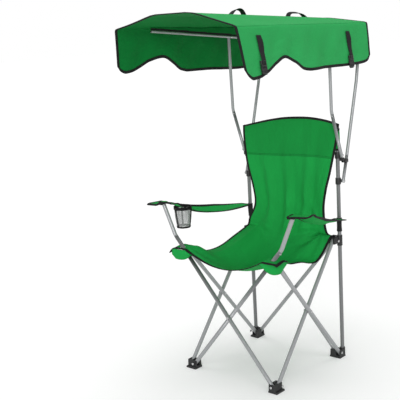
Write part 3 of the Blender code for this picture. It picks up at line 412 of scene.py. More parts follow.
@dataclass(frozen=True)
class TubeFinish:
    """Silver-grey powder coat over steel tube."""

    name: str
    colour: Colour
    metallic: float = 0.35
    roughness: float = 0.36

    def make(self) -> bpy.types.Material:
        """The tube's material."""
        graph = Graph(self.name)
        where = graph.place()
        grain = graph.noise(where, 1400.0, 2.0)
        cloud = graph.noise(where, 14.0, 3.0)
        scuff = graph.noise(graph.stretched(where, (60.0, 60.0, 18.0)), 3.0, 6.0, 1.4)
        mark = (scuff - 0.66).at_least(0.0) * 2.2
        colour = graph.mix((cloud * 0.7 + grain * 0.3).at_most(1.0), self.colour, tinted(self.colour, 0.86))
        colour = graph.mix(mark.at_most(0.35), colour, SCUFF_GREY)
        roughness = self.roughness + (grain - 0.5) * 0.10 + mark * 0.3
        normal = graph.bump(grain, 0.00003, 0.5)
        return graph.shade(Base_Color=colour, Metallic=self.metallic, Roughness=roughness, Normal=normal)


@dataclass(frozen=True)
class PlasticFinish:
    """Moulded black plastic with a fine spark grain and rubbed patches."""

    name: str
    colour: Colour
    roughness: float = 0.46

    def make(self) -> bpy.types.Material:
        """The plastic's material."""
        graph = Graph(self.name)
        where = graph.place()
        grain = graph.noise(where, 1900.0, 2.0)
        cloud = graph.noise(where, 55.0, 4.0)
        rubbed = (cloud * 1.2 - 0.25).at_least(0.0).at_most(1.0)
        colour = graph.mix(rubbed, self.colour, tinted(self.colour, 2.4, 0.006))
        normal = graph.bump(grain, 0.00008, 0.7)
        return graph.shade(Base_Color=colour, Roughness=self.roughness + (cloud - 0.5) * 0.24, Normal=normal)


@dataclass(frozen=True)
class SteelFinish:
    """Zinc-plated rivet steel."""

    name: str
    colour: Colour

    def make(self) -> bpy.types.Material:
        """The steel's material."""
        graph = Graph(self.name)
        where = graph.place()
        grain = graph.noise(where, 900.0, 4.0, 0.5)
        colour = graph.mix(grain, self.colour, tinted(self.colour, 0.7))
        normal = graph.bump(grain, 0.00004, 0.5)
        return graph.shade(Base_Color=colour, Metallic=1.0, Roughness=0.22 + grain * 0.22, Normal=normal)


def finish_piece(
    shape: bmesh.types.BMesh,
    name: str,
    finishes: Sequence[bpy.types.Material],
    body: str,
    replaced: Sequence[str] = (),
    smooth_angle: float = 40.0,
    shifted: bool = True,
) -> bpy.types.Object:
    """Makes a mesh object of a shape, and hangs it on its body.

    Args:
        shape: the shape, which is freed.
        name: the piece's name.
        finishes: its materials, by face index.
        body: the CAD body that it rides on.
        replaced: the CAD nodes that it stands for.
        smooth_angle: edges sharper than this many degrees stay sharp.
        shifted: whether the shape is still in the frame's own coordinates, before its stand was centred.

    Returns:
        The object.
    """
    if shifted:
        bmesh.ops.translate(shape, vec=STAND_SHIFT, verts=shape.verts)
    mesh = bpy.data.meshes.new(name)
    shape.to_mesh(mesh)
    shape.free()
    for finish in finishes:
        mesh.materials.append(finish)
    mesh.shade_smooth()
    mesh.set_sharp_from_angle(angle=math.radians(smooth_angle))
    made = bpy.data.objects.new(name, mesh)
    bpy.context.scene.collection.objects.link(made)
    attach(made, body)
    if replaced:
        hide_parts(*replaced)
    LOG.info("%s: %d faces, on %s", name, len(mesh.polygons), body)
    return made


def body_of(node: str) -> str:
    """The CAD body that carries a node."""
    return frame["nodes"][node]["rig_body"]


def swept(
    points: Sequence[Vector], radius: float, wall: float = 0.0, sides: int = TUBE_SIDES
) -> bmesh.types.BMesh:
    """A round tube along a path, with a bore at both ends.

    Args:
        points: the path.
        radius: the tube's outer radius.
        wall: its wall, or 0 for closed ends.
        sides: its facets.

    Returns:
        The shape.
    """
    shape = bmesh.new()
    ways = [(after - before).normalized() for before, after in zip(points, points[1:])]
    turn = ways[0].to_track_quat("Z", "Y").to_matrix().to_4x4()
    start_place = Matrix.Translation(points[0]) @ turn
    bmesh.ops.create_circle(shape, cap_ends=True, segments=sides, radius=radius, matrix=start_place)
    cap = shape.faces[:][0]
    for index, point in enumerate(points[1:]):
        grown = bmesh.ops.extrude_face_region(shape, geom=[cap])["geom"]
        ring = [part for part in grown if isinstance(part, bmesh.types.BMVert)]
        cap = next(part for part in grown if isinstance(part, bmesh.types.BMFace))
        bmesh.ops.translate(shape, vec=point - points[index], verts=ring)
        before = ways[index - 1] if index else ways[0]
        here = (before + ways[index]).normalized() if index else ways[0]
        after = (ways[index] + ways[index + 1]).normalized() if index + 1 < len(ways) else ways[-1]
        if here.angle(after) > 1e-5:
            bmesh.ops.rotate(shape, cent=point, matrix=here.rotation_difference(after).to_matrix(), verts=ring)
    if wall:
        ends = [face for face in shape.faces if len(face.verts) == sides]
        ends.sort(key=lambda face: (face.calc_center_median() - points[0]).length)
        for face, way in zip(ends, (ways[0], -ways[-1])):
            bmesh.ops.inset_individual(shape, faces=[face], thickness=wall)
            grown = bmesh.ops.extrude_face_region(shape, geom=[face])["geom"]
            ring = [part for part in grown if isinstance(part, bmesh.types.BMVert)]
            bmesh.ops.translate(shape, vec=way * radius * 1.5, verts=ring)
    bmesh.ops.recalc_face_normals(shape, faces=shape.faces)
    return shape


def rounded_path(corners: Sequence[Vector], radius: float, steps: int = 12) -> list[Vector]:
    """A path whose corners are arcs.

    Args:
        corners: the path's ends and corners.
        radius: the arcs' radius.
        steps: the pieces of an arc.

    Returns:
        The path's points.
    """
    points = [corners[0]]
    for before, corner, after in zip(corners, corners[1:], corners[2:]):
        into = (corner - before).normalized()
        out = (after - corner).normalized()
        angle = into.angle(out)
        if angle < 1e-4:
            continue
        reach = radius * math.tan(angle / 2)
        centre = corner + (out - into).normalized() * radius / math.cos(angle / 2)
        start = corner - into * reach - centre
        end = corner + out * reach - centre
        for step in range(steps + 1):
            points.append(centre + start.normalized().slerp(end.normalized(), step / steps) * radius)
    points.append(corners[-1])
    return points


def lathed(
    profile: Sequence[tuple[float, float]], base: Vector, way: Vector, sides: int = TUBE_SIDES
) -> bmesh.types.BMesh:
    """A shape turned about an axis.

    Args:
        profile: its (radius, height) points.
        base: the point of the axis at height 0.
        way: the axis.
        sides: its facets.

    Returns:
        The shape.
    """
    shape = bmesh.new()
    corners = [shape.verts.new((radius, 0.0, height)) for radius, height in profile]
    edges = [shape.edges.new(pair) for pair in zip(corners, corners[1:])]
    bmesh.ops.spin(
        shape,
        geom=corners + edges,
        cent=(0, 0, 0),
        axis=(0, 0, 1),
        angle=math.tau,
        steps=sides,
        use_merge=True,
        use_duplicate=False,
    )
    bmesh.ops.remove_doubles(shape, verts=shape.verts, dist=2e-5)
    bmesh.ops.recalc_face_normals(shape, faces=shape.faces)
    turn = way.normalized().to_track_quat("Z", "Y").to_matrix().to_4x4()
    bmesh.ops.transform(shape, matrix=Matrix.Translation(base) @ turn, verts=shape.verts)
    return shape


def joined(shapes: Sequence[bmesh.types.BMesh]) -> bmesh.types.BMesh:
    """Several shapes in one."""
    whole = bmesh.new()
    for shape in shapes:
        holder = bpy.data.meshes.new("holder")
        shape.to_mesh(holder)
        shape.free()
        whole.from_mesh(holder)
        bpy.data.meshes.remove(holder)
    return whole


def head_profile(radius: float, height: float, base: float) -> list[tuple[float, float]]:
    """The half section of a domed rivet head that stands on a height, from its foot to its crown."""
    turns = (0.0, 0.35, 0.7, 1.05, 1.35)
    dome = [(radius * math.cos(turn), base + height * (0.25 + 0.75 * math.sin(turn))) for turn in turns]
    return [(radius, base)] + dome + [(0.0, base + height)]


def rivet(
    start: Vector, end: Vector, shank: float, radius: float, height: float, two_heads: bool = True
) -> bmesh.types.BMesh:
    """A rivet between two faces.

    Args:
        start: the far face.
        end: the near face, where its head stands.
        shank: its shank's radius.
        radius: its heads' radius.
        height: their height.
        two_heads: whether the far end has one too.

    Returns:
        The shape.
    """
    length = (end - start).length
    top = [(shank, length)] + head_profile(radius, height, length)
    foot = [(shank, 0.0), (0.0, 0.0)]
    if two_heads:
        foot = [(shank, 0.0)] + [(r, -z) for r, z in head_profile(radius, height, 0.0)]
    return lathed(list(reversed(foot)) + top, start, end - start)


def clamped(value: float) -> float:
    """A value, held between 0 and 1."""
    return max(0.0, min(1.0, value))


def bell(value: float, middle: float, width: float) -> float:
    """A smooth bump, 1 at its middle, that fades over a width."""
    return math.exp(-(((value - middle) / width) ** 2))


def catmull(values: Sequence[float], at: float) -> float:
    """A smooth curve through evenly spaced values, straight past its ends."""
    last = len(values) - 1
    if at <= 0:
        return values[0] + (values[1] - values[0]) * at
    if at >= last:
        return values[last] + (values[last] - values[last - 1]) * (at - last)
    low = int(at)
    t = at - low
    a = values[low - 1] if low else 2 * values[0] - values[1]
    b, c = values[low], values[low + 1]
    d = values[low + 2] if low + 2 <= last else 2 * values[last] - values[last - 1]
    return 0.5 * (2 * b + (c - a) * t + (2 * a - 5 * b + 4 * c - d) * t * t + (3 * b - a - 3 * c + d) * t * t * t)


def eased(stations: Sequence[float], values: Sequence[float], at: float) -> float:
    """A smooth curve through uneven stations that doesn't overshoot between them.

    Args:
        stations: where the values stand.
        values: the values.
        at: where the curve is read.

    Returns:
        The curve's value.
    """
    last = len(stations) - 1
    slopes = [
        (values[index + 1] - values[index]) / (stations[index + 1] - stations[index])
        for index in range(last)
    ]

    def tangent(index: int) -> float:
        if index in (0, last):
            return slopes[min(index, last - 1)]
        before, after = slopes[index - 1], slopes[index]
        if before * after <= 0:
            return 0.0
        low = stations[index] - stations[index - 1]
        high = stations[index + 1] - stations[index]
        return 3 * (low + high) / ((2 * high + low) / before + (high + 2 * low) / after)

    if at <= stations[0]:
        return values[0]
    for index in range(last):
        if at <= stations[index + 1]:
            span = stations[index + 1] - stations[index]
            t = (at - stations[index]) / span
            first, second = values[index], values[index + 1]
            rise = t * t * (3 - 2 * t)
            bend = (1 - t) * tangent(index) - t * tangent(index + 1)
            return first * (1 - rise) + second * rise + span * t * (1 - t) * bend
    return values[-1]


def spread(low: float, high: float, count: int) -> list[float]:
    """Evenly spaced values from low to high."""
    return [low + (high - low) * step / (count - 1) for step in range(count)]


def joined_spreads(*parts: tuple[float, float, int]) -> list[float]:
    """Several runs of evenly spaced values, sorted and with each value once."""
    return sorted({value for part in parts for value in spread(*part)})


def tape_way(over: float, tape: float, inward: bool) -> list[float]:
    """A binding's columns, from just past the cloth's edge inwards, or the other way round."""
    return spread(-over, tape, 5) if inward else spread(tape, -over, 5)


def cloth_grid(
    surface: Surface, columns: Sequence[float], rows: Sequence[float], centred: bool = False
) -> bmesh.types.BMesh:
    """A grid laid on a surface, with its own coordinates in metres.

    Args:
        surface: the point at a column and a row.
        columns: the columns' values.
        rows: the rows' values.
        centred: whether the first coordinate is 0 in the middle.

    Returns:
        The shape, with that map in its UV layer.
    """
    shape = bmesh.new()
    layer = shape.loops.layers.uv.new("UVMap")
    bmesh.ops.create_grid(shape, x_segments=len(columns) - 1, y_segments=len(rows) - 1, size=1.0)
    middle_row = rows[len(rows) // 2]
    middle_column = columns[len(columns) // 2]
    across, along = [0.0], [0.0]
    for before, after in zip(columns, columns[1:]):
        across.append(across[-1] + (surface(after, middle_row) - surface(before, middle_row)).length)
    for before, after in zip(rows, rows[1:]):
        along.append(along[-1] + (surface(middle_column, after) - surface(middle_column, before)).length)
    if centred:
        across = [value - across[-1] / 2 for value in across]
    for vert in shape.verts:
        column = round((vert.co.x + 1) / 2 * (len(columns) - 1))
        row = round((vert.co.y + 1) / 2 * (len(rows) - 1))
        for loop in vert.link_loops:
            loop[layer].uv = (across[column], along[row])
        vert.co = surface(columns[column], rows[row])
    shape.normal_update()
    return shape


def thicken(made: bpy.types.Object, thickness: float, other_side: int = 0) -> None:
    """Gives a cloth its thickness.

    Args:
        made: the cloth.
        thickness: in metres.
        other_side: how far down the list of materials the far side's one is.
    """
    shell = made.modifiers.new("thickness", "SOLIDIFY")
    shell.thickness = thickness
    shell.offset = 0.0
    shell.use_even_offset = False
    shell.material_offset = other_side


def sewn(
    shape: bmesh.types.BMesh,
    name: str,
    finish: bpy.types.Material,
    body: str,
    thickness: float,
    replaced: Sequence[str] = (),
) -> bpy.types.Object:
    """Makes a cloth or a tape of a shape, smooth all over and with its thickness.

    Args:
        shape: the shape, which is freed.
        name: the piece's name.
        finish: its material.
        body: the CAD body that it rides on.
        thickness: in metres.
        replaced: the CAD nodes that it stands for.

    Returns:
        The object.
    """
    made = finish_piece(shape, name, [finish], body, replaced, SMOOTH_ALL_OVER)
    thicken(made, thickness)
    return made


def declare_cloth(
    made: bpy.types.Object
) -> None:
    """Logs a cloth's flat size, from its own map.

    Args:
        made: the cloth.
    """
    area = sum(face.area for face in made.data.polygons)
    places = [entry.uv for entry in made.data.uv_layers[0].data]
    width = max(place[0] for place in places) - min(place[0] for place in places)
    length = max(place[1] for place in places) - min(place[1] for place in places)
    grow = max(1.0, math.sqrt(area / (width * length)) * 1.0005)
    LOG.info("%s: flat %.3f x %.3f m, %.4f m2", made.name, width * grow, length * grow, area)
    flat = (width * grow, length * grow)


@dataclass
class Finishes:
    """Every finish of the chair."""

    seat: bpy.types.Material = field(init=False)
    roof_inside: bpy.types.Material = field(init=False)
    binding: bpy.types.Material = field(init=False)
    webbing: bpy.types.Material = field(init=False)
    net: bpy.types.Material = field(init=False)
    tube: bpy.types.Material = field(init=False)
    post: bpy.types.Material = field(init=False)
    plastic: bpy.types.Material = field(init=False)
    steel: bpy.types.Material = field(init=False)

    def __post_init__(self) -> None:
        """Makes the materials."""
        self.seat = ClothFinish("seat_cloth", SEAT_GREEN, SEAT_SHADE).make()
        # The roof's underside is a darker copy of the roof cloth, painted shade.
        self.roof_inside = ClothFinish("roof_lining", SHADED_UNDERSIDE_GREEN, SHADED_UNDERSIDE_DARK).make()
        self.binding = WebbingFinish("binding_tape", TAPE_BLACK, TAPE_THREAD, 0.0011).make()
        self.webbing = WebbingFinish("strap_webbing", WEB_BLACK, WEB_THREAD, 0.0020, 0.024).make()
        self.net = NetFinish("cup_net", NET_GREY).make()
        self.tube = TubeFinish("silver_coat", TUBE_SILVER).make()
        # The posts take a darker copy of the tube coat, painted shade.
        self.post = TubeFinish("post_coat", SHADED_POST_SILVER).make()
        self.plastic = PlasticFinish("moulded_black", MOULDED_BLACK).make()
        self.steel = SteelFinish("plated_steel", RIVET_ZINC).make()


@dataclass
class Tubework:
    """The round tubes: eight cross tubes, two posts, four poles and two rails, and the mouldings they end in."""

    finishes: Finishes
    corner: float = 0.220
    reach: float = 0.204
    low: float = 0.022
    high: float = 0.502
    plane: float = 0.0085
    radius: float = 0.008
    wall: float = 0.0012
    end_reach: float = 0.0065
    arm_bend: float = 0.085
    arm_radius: float = 0.050
    arm_lean: float = math.radians(23.8)
    arm_rise: float = 0.124
    post: float = POST_PLACE
    post_top: float = 0.955
    post_base: float = 0.0137
    pole_x: float = 0.2469
    pole_radius: float = 0.0065
    pole_wall: float = 0.001
    pole_bend: float = 0.060
    rail_x: float = 0.2350
    rail_radius: float = 0.005
    rail_wall: float = 0.0008
    front_pole: tuple[tuple[float, float], ...] = ((POST_PLACE, 0.850), (0.164, 1.031), (0.158, 1.3347))
    rear_pole: tuple[tuple[float, float], ...] = (
        (0.2365, 0.745),
        (0.268, 0.845),
        (0.352, 1.135),
        (0.385, 1.3143),
    )
    rail_front: float = -0.312
    rail_rear: float = 0.394

    @property
    def slope(self) -> float:
        """The cross tubes' angle to the floor."""
        return math.atan2(self.high - self.low, 2 * self.reach)

    def rail_height(self, y: float) -> float:
        """The rail axis's height at a y."""
        (front_y, front_z), (rear_y, rear_z) = self.front_pole[-1], self.rear_pole[-1]
        return front_z + (y - front_y) * (rear_z - front_z) / (rear_y - front_y)

    def build(self) -> None:
        """Builds every tube."""
        for turns, label in enumerate(SIDE_LABELS):
            for outer, word in ((False, "inner"), (True, "outer")):
                self.cross_tube(f"tube_{label}_{word}", turns, outer, label == "front")
        for side in Side:
            x = side.value * self.post
            ends = [Vector((x, self.post, self.post_base)), Vector((x, self.post, self.post_top))]
            self.lay(f"post_{side.label}", ends, self.radius, self.wall)
            for kind, corners in (("front", self.front_pole), ("rear", self.rear_pole)):
                places = [Vector((side.value * self.pole_x, y, z)) for y, z in corners]
                places[0] += (places[0] - places[1]).normalized() * self.end_reach
                places[-1] += (places[-1] - places[-2]).normalized() * self.end_reach
                path = rounded_path(places, self.pole_bend)
                self.lay(f"canopy_{kind}_pole_{side.label}", path, self.pole_radius, self.pole_wall)
            rail_x = side.value * self.rail_x
            ends = [Vector((rail_x, y, self.rail_height(y))) for y in (self.rail_front, self.rail_rear)]
            self.lay(f"canopy_rail_{side.label}", ends, self.rail_radius, self.rail_wall)

    def lay(self, node: str, points: Sequence[Vector], radius: float, wall: float) -> None:
        """Lays one tube in the place of its node."""
        # Posts take the darker copy of the tube coat, painted shade.
        coat = self.finishes.post if node.startswith("post") else self.finishes.tube
        finish_piece(swept(points, radius, wall), f"{node}_round", [coat], body_of(node), [node])

    def cross_tube(self, node: str, turns: int, outer: bool, with_arm: bool) -> None:
        """One tube of a side's cross.

        Args:
            node: the CAD node.
            turns: quarter turns from the front.
            outer: whether it lies in the outer plane.
            with_arm: whether it runs on up to an arm.
        """
        plane = -(self.corner + self.plane) if outer else -(self.corner - self.plane)
        side = -1 if outer else 1
        slope = Vector((side * math.cos(self.slope), 0, math.sin(self.slope)))
        bottom = Vector((-side * self.reach, plane, self.low))
        top = Vector((side * self.reach, plane, self.high))
        corners = [bottom - slope * self.end_reach, top + slope * self.end_reach]
        if with_arm:
            bend = top + slope * self.arm_bend
            corners = [corners[0], bend, bend + Vector((side * math.tan(self.arm_lean), 0, 1)) * self.arm_rise]
        turn = Matrix.Rotation(turns * math.pi / 2, 4, "Z")
        path = [turn @ point for point in rounded_path(corners, self.arm_radius)]
        self.lay(node, path, self.radius, self.wall)


@dataclass
class Fittings:
    """Rivets with domed heads, and the black mouldings with softened edges."""

    finishes: Finishes
    tubes: Tubework
    shank: float = 0.0025
    head: float = 0.0052
    dome: float = 0.0022
    gap: float = 0.0003
    pin_length: float = 0.0167
    head_sink: float = 0.0002
    edge: float = 0.0007
    moulded: tuple[str, ...] = ("foot_", "hub_", "slider_", "bracket_", "canopy_clip_", "arm_cap_", "post_cap_")

    def build(self) -> None:
        """Builds the rivets and softens the mouldings."""
        tubes = self.tubes
        middle = (tubes.low + tubes.high) / 2
        reach = tubes.plane + tubes.radius + self.gap
        for turns, label in enumerate(SIDE_LABELS):
            turn = Matrix.Rotation(turns * math.pi / 2, 4, "Z")
            start = turn @ Vector((0, -tubes.corner + reach, middle))
            end = turn @ Vector((0, -tubes.corner - reach, middle))
            self.rivet(f"rivet_{label}", start, end, True)
        for side in Side:
            x = side.value
            outside = tubes.pole_x + tubes.pole_radius + self.gap
            inside_rail = tubes.rail_x - tubes.rail_radius - self.gap
            for word, pivot, inner, two in (
                ("pivot_pin_upper", tubes.front_pole[0], outside - self.pin_length, False),
                ("pivot_pin_lower", tubes.rear_pole[0], outside - self.pin_length, False),
                ("rail_rivet_front", tubes.front_pole[-1], inside_rail, True),
                ("rail_rivet_rear", tubes.rear_pole[-1], tubes.pole_x - tubes.pole_radius, False),
            ):
                ends = Vector((x * inner, *pivot)), Vector((x * outside, *pivot))
                self.rivet(f"{word}_{side.label}", *ends, two)
        for node, thing in frame["nodes"].items():
            if node.startswith(self.moulded):
                self.soften(node, thing)
        self.corner_heads()

    def rivet(self, node: str, start: Vector, end: Vector, two_heads: bool) -> None:
        """One domed rivet in the place of its node."""
        shape = rivet(start, end, self.shank, self.head, self.dome, two_heads)
        finish_piece(shape, f"{node}_domed", [self.finishes.steel], body_of(node), [node])

    def soften(self, node: str, thing: bpy.types.Object) -> None:
        """A moulding with rounded edges, from its node's merged copy.

        Args:
            node: the CAD node.
            thing: its object.
        """
        shape = bmesh.new()
        shape.from_mesh(thing.data)
        bmesh.ops.remove_doubles(shape, verts=shape.verts, dist=1e-5)
        bmesh.ops.dissolve_limit(shape, angle_limit=math.radians(1.0), verts=shape.verts, edges=shape.edges)
        limit = math.radians(38)
        sharp = [edge for edge in shape.edges if len(edge.link_faces) == 2 and edge.calc_face_angle() > limit]
        bmesh.ops.bevel(
            shape,
            geom=sharp,
            offset=self.edge,
            offset_type="OFFSET",
            affect="EDGES",
            segments=2,
            profile=0.5,
            material=-1,
            clamp_overlap=True,
        )
        finish_piece(shape, f"{node}_moulded", [self.finishes.plastic], body_of(node), [node], shifted=False)

    def corner_heads(self) -> None:
        """The rivet heads on the outside of the feet, hubs and sliders."""
        tubes = self.tubes
        corners = ("front_left", "front_right", "rear_right", "rear_left")
        mouldings = [(f"foot_{corner}", turns, tubes.low) for turns, corner in enumerate(corners)]
        for turns, corner in enumerate(corners):
            kind = "hub" if corner.startswith("front") else "slider"
            mouldings.append((f"{kind}_{corner}", turns, tubes.high))
        profile = [(0.0, 0.0)] + head_profile(self.head, self.dome, 0.0)
        pins = (
            (Vector((-tubes.reach, 0, 0)), Vector((0, -1, 0))),
            (Vector((0, -tubes.reach, 0)), Vector((-1, 0, 0))),
        )
        for node, turns, height in mouldings:
            turn = Matrix.Rotation(turns * math.pi / 2, 4, "Z").to_3x3()
            low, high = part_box(node)
            heads = []
            for pin, out in pins:
                way = turn @ out
                along = turn @ pin
                if abs(way.x) > 0.5:
                    face = max(abs(low.x), abs(high.x))
                else:
                    face = max(abs(low.y - STAND_SHIFT.y), abs(high.y - STAND_SHIFT.y))
                point = Vector((along.x, along.y, height)) + way * face
                heads.append(lathed(profile, point - way * self.head_sink, way, 20))
            finish_piece(joined(heads), f"{node}_pin_heads", [self.finishes.steel], body_of(node))


@dataclass
class Sling:
    """The one-piece seat and back, its binding, corner flaps and post pockets."""

    finishes: Finishes
    half_width: float = 0.239
    back_y: float = 0.2189
    corner_z: float = 0.5176
    rise: float = 0.445
    thickness: float = 0.0013
    bound: float = 0.0032
    tape: float = 0.0085
    centre_depth: tuple[float, ...] = (
        -1.12, -0.90, -0.57, -0.17, 0.22, 0.50, 0.66, 0.78,
        0.89, 0.94, 0.98, 1.01, 1.02, 1.02,
    )
    centre_rise: tuple[float, ...] = (
        -0.125, -0.155, -0.20, -0.215, -0.20, -0.15, -0.10, -0.02,
        0.18, 0.39, 0.60, 0.79, 0.96, 1.08,
    )
    edge_width: tuple[float, ...] = (
        1.09, 1.05, 0.92, 0.87, 0.88, 0.90, 0.905, 0.80,
        0.74, 0.79, 0.89, 0.95, 0.985, 1.0,
    )
    edge_depth: tuple[float, ...] = (
        -1.12, -0.84, -0.50, -0.10, 0.42, 0.855, 0.965, 0.89,
        0.915, 0.915, 0.92, 0.945, 0.975, 1.0,
    )
    left_depth: tuple[float, ...] = (
        -1.12, -0.84, -0.50, -0.10, 0.40, 0.80, 0.905, 0.90,
        0.915, 0.915, 0.92, 0.945, 0.975, 1.0,
    )
    left_rise: tuple[float, ...] = (
        0.0, 0.0, -0.09, -0.095, -0.04, 0.004, 0.026, 0.085,
        0.24, 0.42, 0.61, 0.775, 0.895, 0.986,
    )
    right_rise: tuple[float, ...] = (
        0.0, 0.0, -0.08, -0.12, -0.17, 0.0, 0.0, 0.04,
        0.24, 0.42, 0.61, 0.785, 0.925, 1.03,
    )
    hem_share: float = 0.7332
    last: float = 13.0
    waist: float = 7.0
    left_waist: float = 1.10
    right_top: float = 0.022
    over_hub: float = 0.0075
    lobe: float = 0.043
    skew: float = 0.016
    tip_width: tuple[float, float] = (0.013, 0.004)
    tip_droop: tuple[float, float] = (0.020, 0.010)
    tongue: float = 0.05
    split_front: float = 3.45
    split_back: float = 7.0
    seam: float = 11.05
    seam_gap: float = 0.006
    dive: float = 0.0016
    tape_over: float = 0.0009
    slot_inner: float = 0.2060
    slot_outer: float = 0.2292
    slot_half: float = 0.0090
    slot_planes: tuple[float, float] = (POST_PLACE, 0.2115)
    pull_height: tuple[float, float] = (0.0012, 0.0042)
    pocket_radius: float = 0.0096
    pocket_low: float = 0.871
    pocket_high: float = 0.957
    pocket_tape: float = 0.0028
    keep_seat: float = 0.256

    def half(self, across: float, station: float) -> float:
        """Half the sling's width, a little more at the left of the waist and the right of the top."""
        if across < 0:
            bulge = 1 + (self.left_waist - 1) * bell(station, self.waist, 0.7)
        else:
            bulge = 1.0 + self.right_top * clamped((station - 10.2) / 1.5)
        return self.half_width * catmull(self.edge_width, station) * bulge

    def base(self, across: float, station: float) -> Vector:
        """The sling without its folds."""
        depth = self.back_y * catmull(self.centre_depth, station)
        rise = self.rise * catmull(self.centre_rise, station)
        half = self.half(across, station)
        share = clamped(across / 0.4 + 0.5)

        def edge_value(left: Sequence[float], right: Sequence[float]) -> float:
            return catmull(left, station) * (1 - share) + catmull(right, station) * share

        edge_depth = self.back_y * edge_value(self.left_depth, self.edge_depth)
        edge_rise = self.rise * edge_value(self.left_rise, self.right_rise)
        ease = clamped(station - self.waist)
        hem = self.hem_share + (1 - self.hem_share) * ease * ease * (3 - 2 * ease)
        bow = min(1.0, (across / hem) ** 2)
        skew = self.skew * (max(0.0, station) / self.last) ** 4 * across * max(0.0, 1 - across * across)
        height = self.corner_z + rise + (edge_rise - rise) * bow + skew
        return Vector((half * across, depth + (edge_depth - depth) * bow, height))

    def fold(self, across: float, station: float, point: Vector) -> float:
        """How far the cloth's folds lift it, in metres: long ones down the back and fans at the corners."""
        back = clamped((station - 6.2) / 1.6)
        waist = bell(station, 8.4, 2.3)
        top = bell(station, 12.4, 1.2)
        calm = 1 - min(1.0, abs(across)) ** 4
        lean = across + 0.03 * math.sin(station * 1.3)
        wide_fold = 0.0072 * waist * math.cos(13.5 * lean + 0.5)
        close_fold = 0.0030 * waist * math.cos(25 * lean + 1.1)
        lift = back * calm * (wide_fold + close_fold)
        lift += back * calm * top * 0.0016 * math.cos(11 * lean + 0.4 * station)
        for side in (-1, 1):
            away = point - Vector((side * 0.165, 0.205, 0.545))
            reach = bell(away.length, 0.0, 0.20) * min(1.0, away.length / 0.05)
            turn = math.atan2(away.z + 0.5 * away.y, -side * away.x)
            lift += calm * self.pull_height[side > 0] * reach * math.cos(11 * turn + side)
            hub = point - Vector((side * POST_PLACE, -0.225, 0.515))
            reach = bell(hub.length, 0.10, 0.07)
            turn = math.atan2(hub.y, -side * hub.x)
            lift += calm * 0.0034 * reach * math.cos(9 * turn)
        return lift

    def normal(self, across: float, station: float) -> Vector:
        """The sling's upward normal."""
        step = 0.01
        side = self.base(across + step, station) - self.base(across - step, station)
        ahead = self.base(across, station + step) - self.base(across, station - step)
        return side.cross(ahead).normalized()

    def surface(self, across: float, station: float) -> Vector:
        """The sling with its folds, and its front corners drawn over the hubs."""
        point = self.base(across, station)
        inside = clamped((1.02 - abs(across)) / 0.12) * clamped((station + 0.02) / 0.4)
        point += self.normal(across, station) * self.fold(across, station, point) * inside
        corner = clamped((abs(across) - 0.50) / 0.35) * max(0.0, 1 - max(0.0, station) / 0.9)
        point.y -= self.over_hub * corner
        near = clamped(1.25 - max(0.0, station) / 1.6)
        wide = self.tip_width[across > 0] * clamped((abs(across) - 0.90) / 0.10) ** 2 * near
        point.x += math.copysign(wide, across)
        over = max(0.0, min(1.2, (abs(point.x) - 0.244) / 0.028))
        point.z -= self.tip_droop[across > 0] * over * over * near
        return point

    def tongued(self, low: float, high: float) -> Surface:
        """The sling between two stations, with an end that dives under the next piece."""

        def dive(across: float, station: float) -> Vector:
            past = max(0.0, station - high if high < self.last else 0.0, low - station if low > 0.0 else 0.0)
            sunk = self.normal(across, station) * self.dive * min(1.0, past / self.tongue) ** 2
            return self.surface(across, station) - sunk

        return dive

    def rows(self, low: float, high: float, count: int) -> list[float]:
        """A piece's rows, with those of its tongues."""
        before = [low - self.tongue, low - self.tongue / 2] if low > 0.0 else []
        after = [high + self.tongue / 2, high + self.tongue] if high < self.last else []
        return before + spread(low, high, count) + after

    def build(self) -> None:
        """Builds the seat's two halves and the back, each with its binding, and the flaps and pockets."""
        front, back, last = self.split_front, self.split_back, self.last
        parts = (
            ("seat_front", 0.0, front, "left_inner", 40, ("left", "right", "front"), "hub_front_{}_moulded"),
            ("seat_rear", front, back, "left_outer", 40, ("left", "right"), "slider_rear_{}_moulded"),
            ("seat_back", back, last, "rear_left_post", 64, ("left", "right", "top"), "post_{}_round"),
        )
        columns = spread(-1.0, 1.0, 61)
        for name, low, high, body, count, edges, rest in parts:
            shape = cloth_grid(self.tongued(low, high), columns, self.rows(low, high, count))
            is_back = name == "seat_back"
            finish = self.back_finish(shape, low, high) if is_back else self.finishes.seat
            cloth = sewn(shape, name, finish, body, self.thickness, ["seat_back_sling"] if is_back else [])
            if name == "seat_front":
                self.cut_tube_slots(cloth)
            tape = self.binding(low, high, edges)
            trim = sewn(tape, f"{name}_binding", self.finishes.binding, body, self.bound)
            declare_cloth(cloth)
            for piece in (cloth, trim):
                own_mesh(piece)
        for side in Side:
            self.flap(side)
            self.pocket(side)

    def back_finish(self, shape: bmesh.types.BMesh, low: float, high: float) -> bpy.types.Material:
        """The back's cloth, with the seam of its doubled top panel."""
        layer = shape.loops.layers.uv["UVMap"]
        top = max(loop[layer].uv[1] for face in shape.faces for loop in face.loops)
        seam = top * (self.seam - low) / (high - low)
        return ClothFinish("back_cloth", SEAT_GREEN, SEAT_SHADE, (), (seam, seam + self.seam_gap), seam).make()

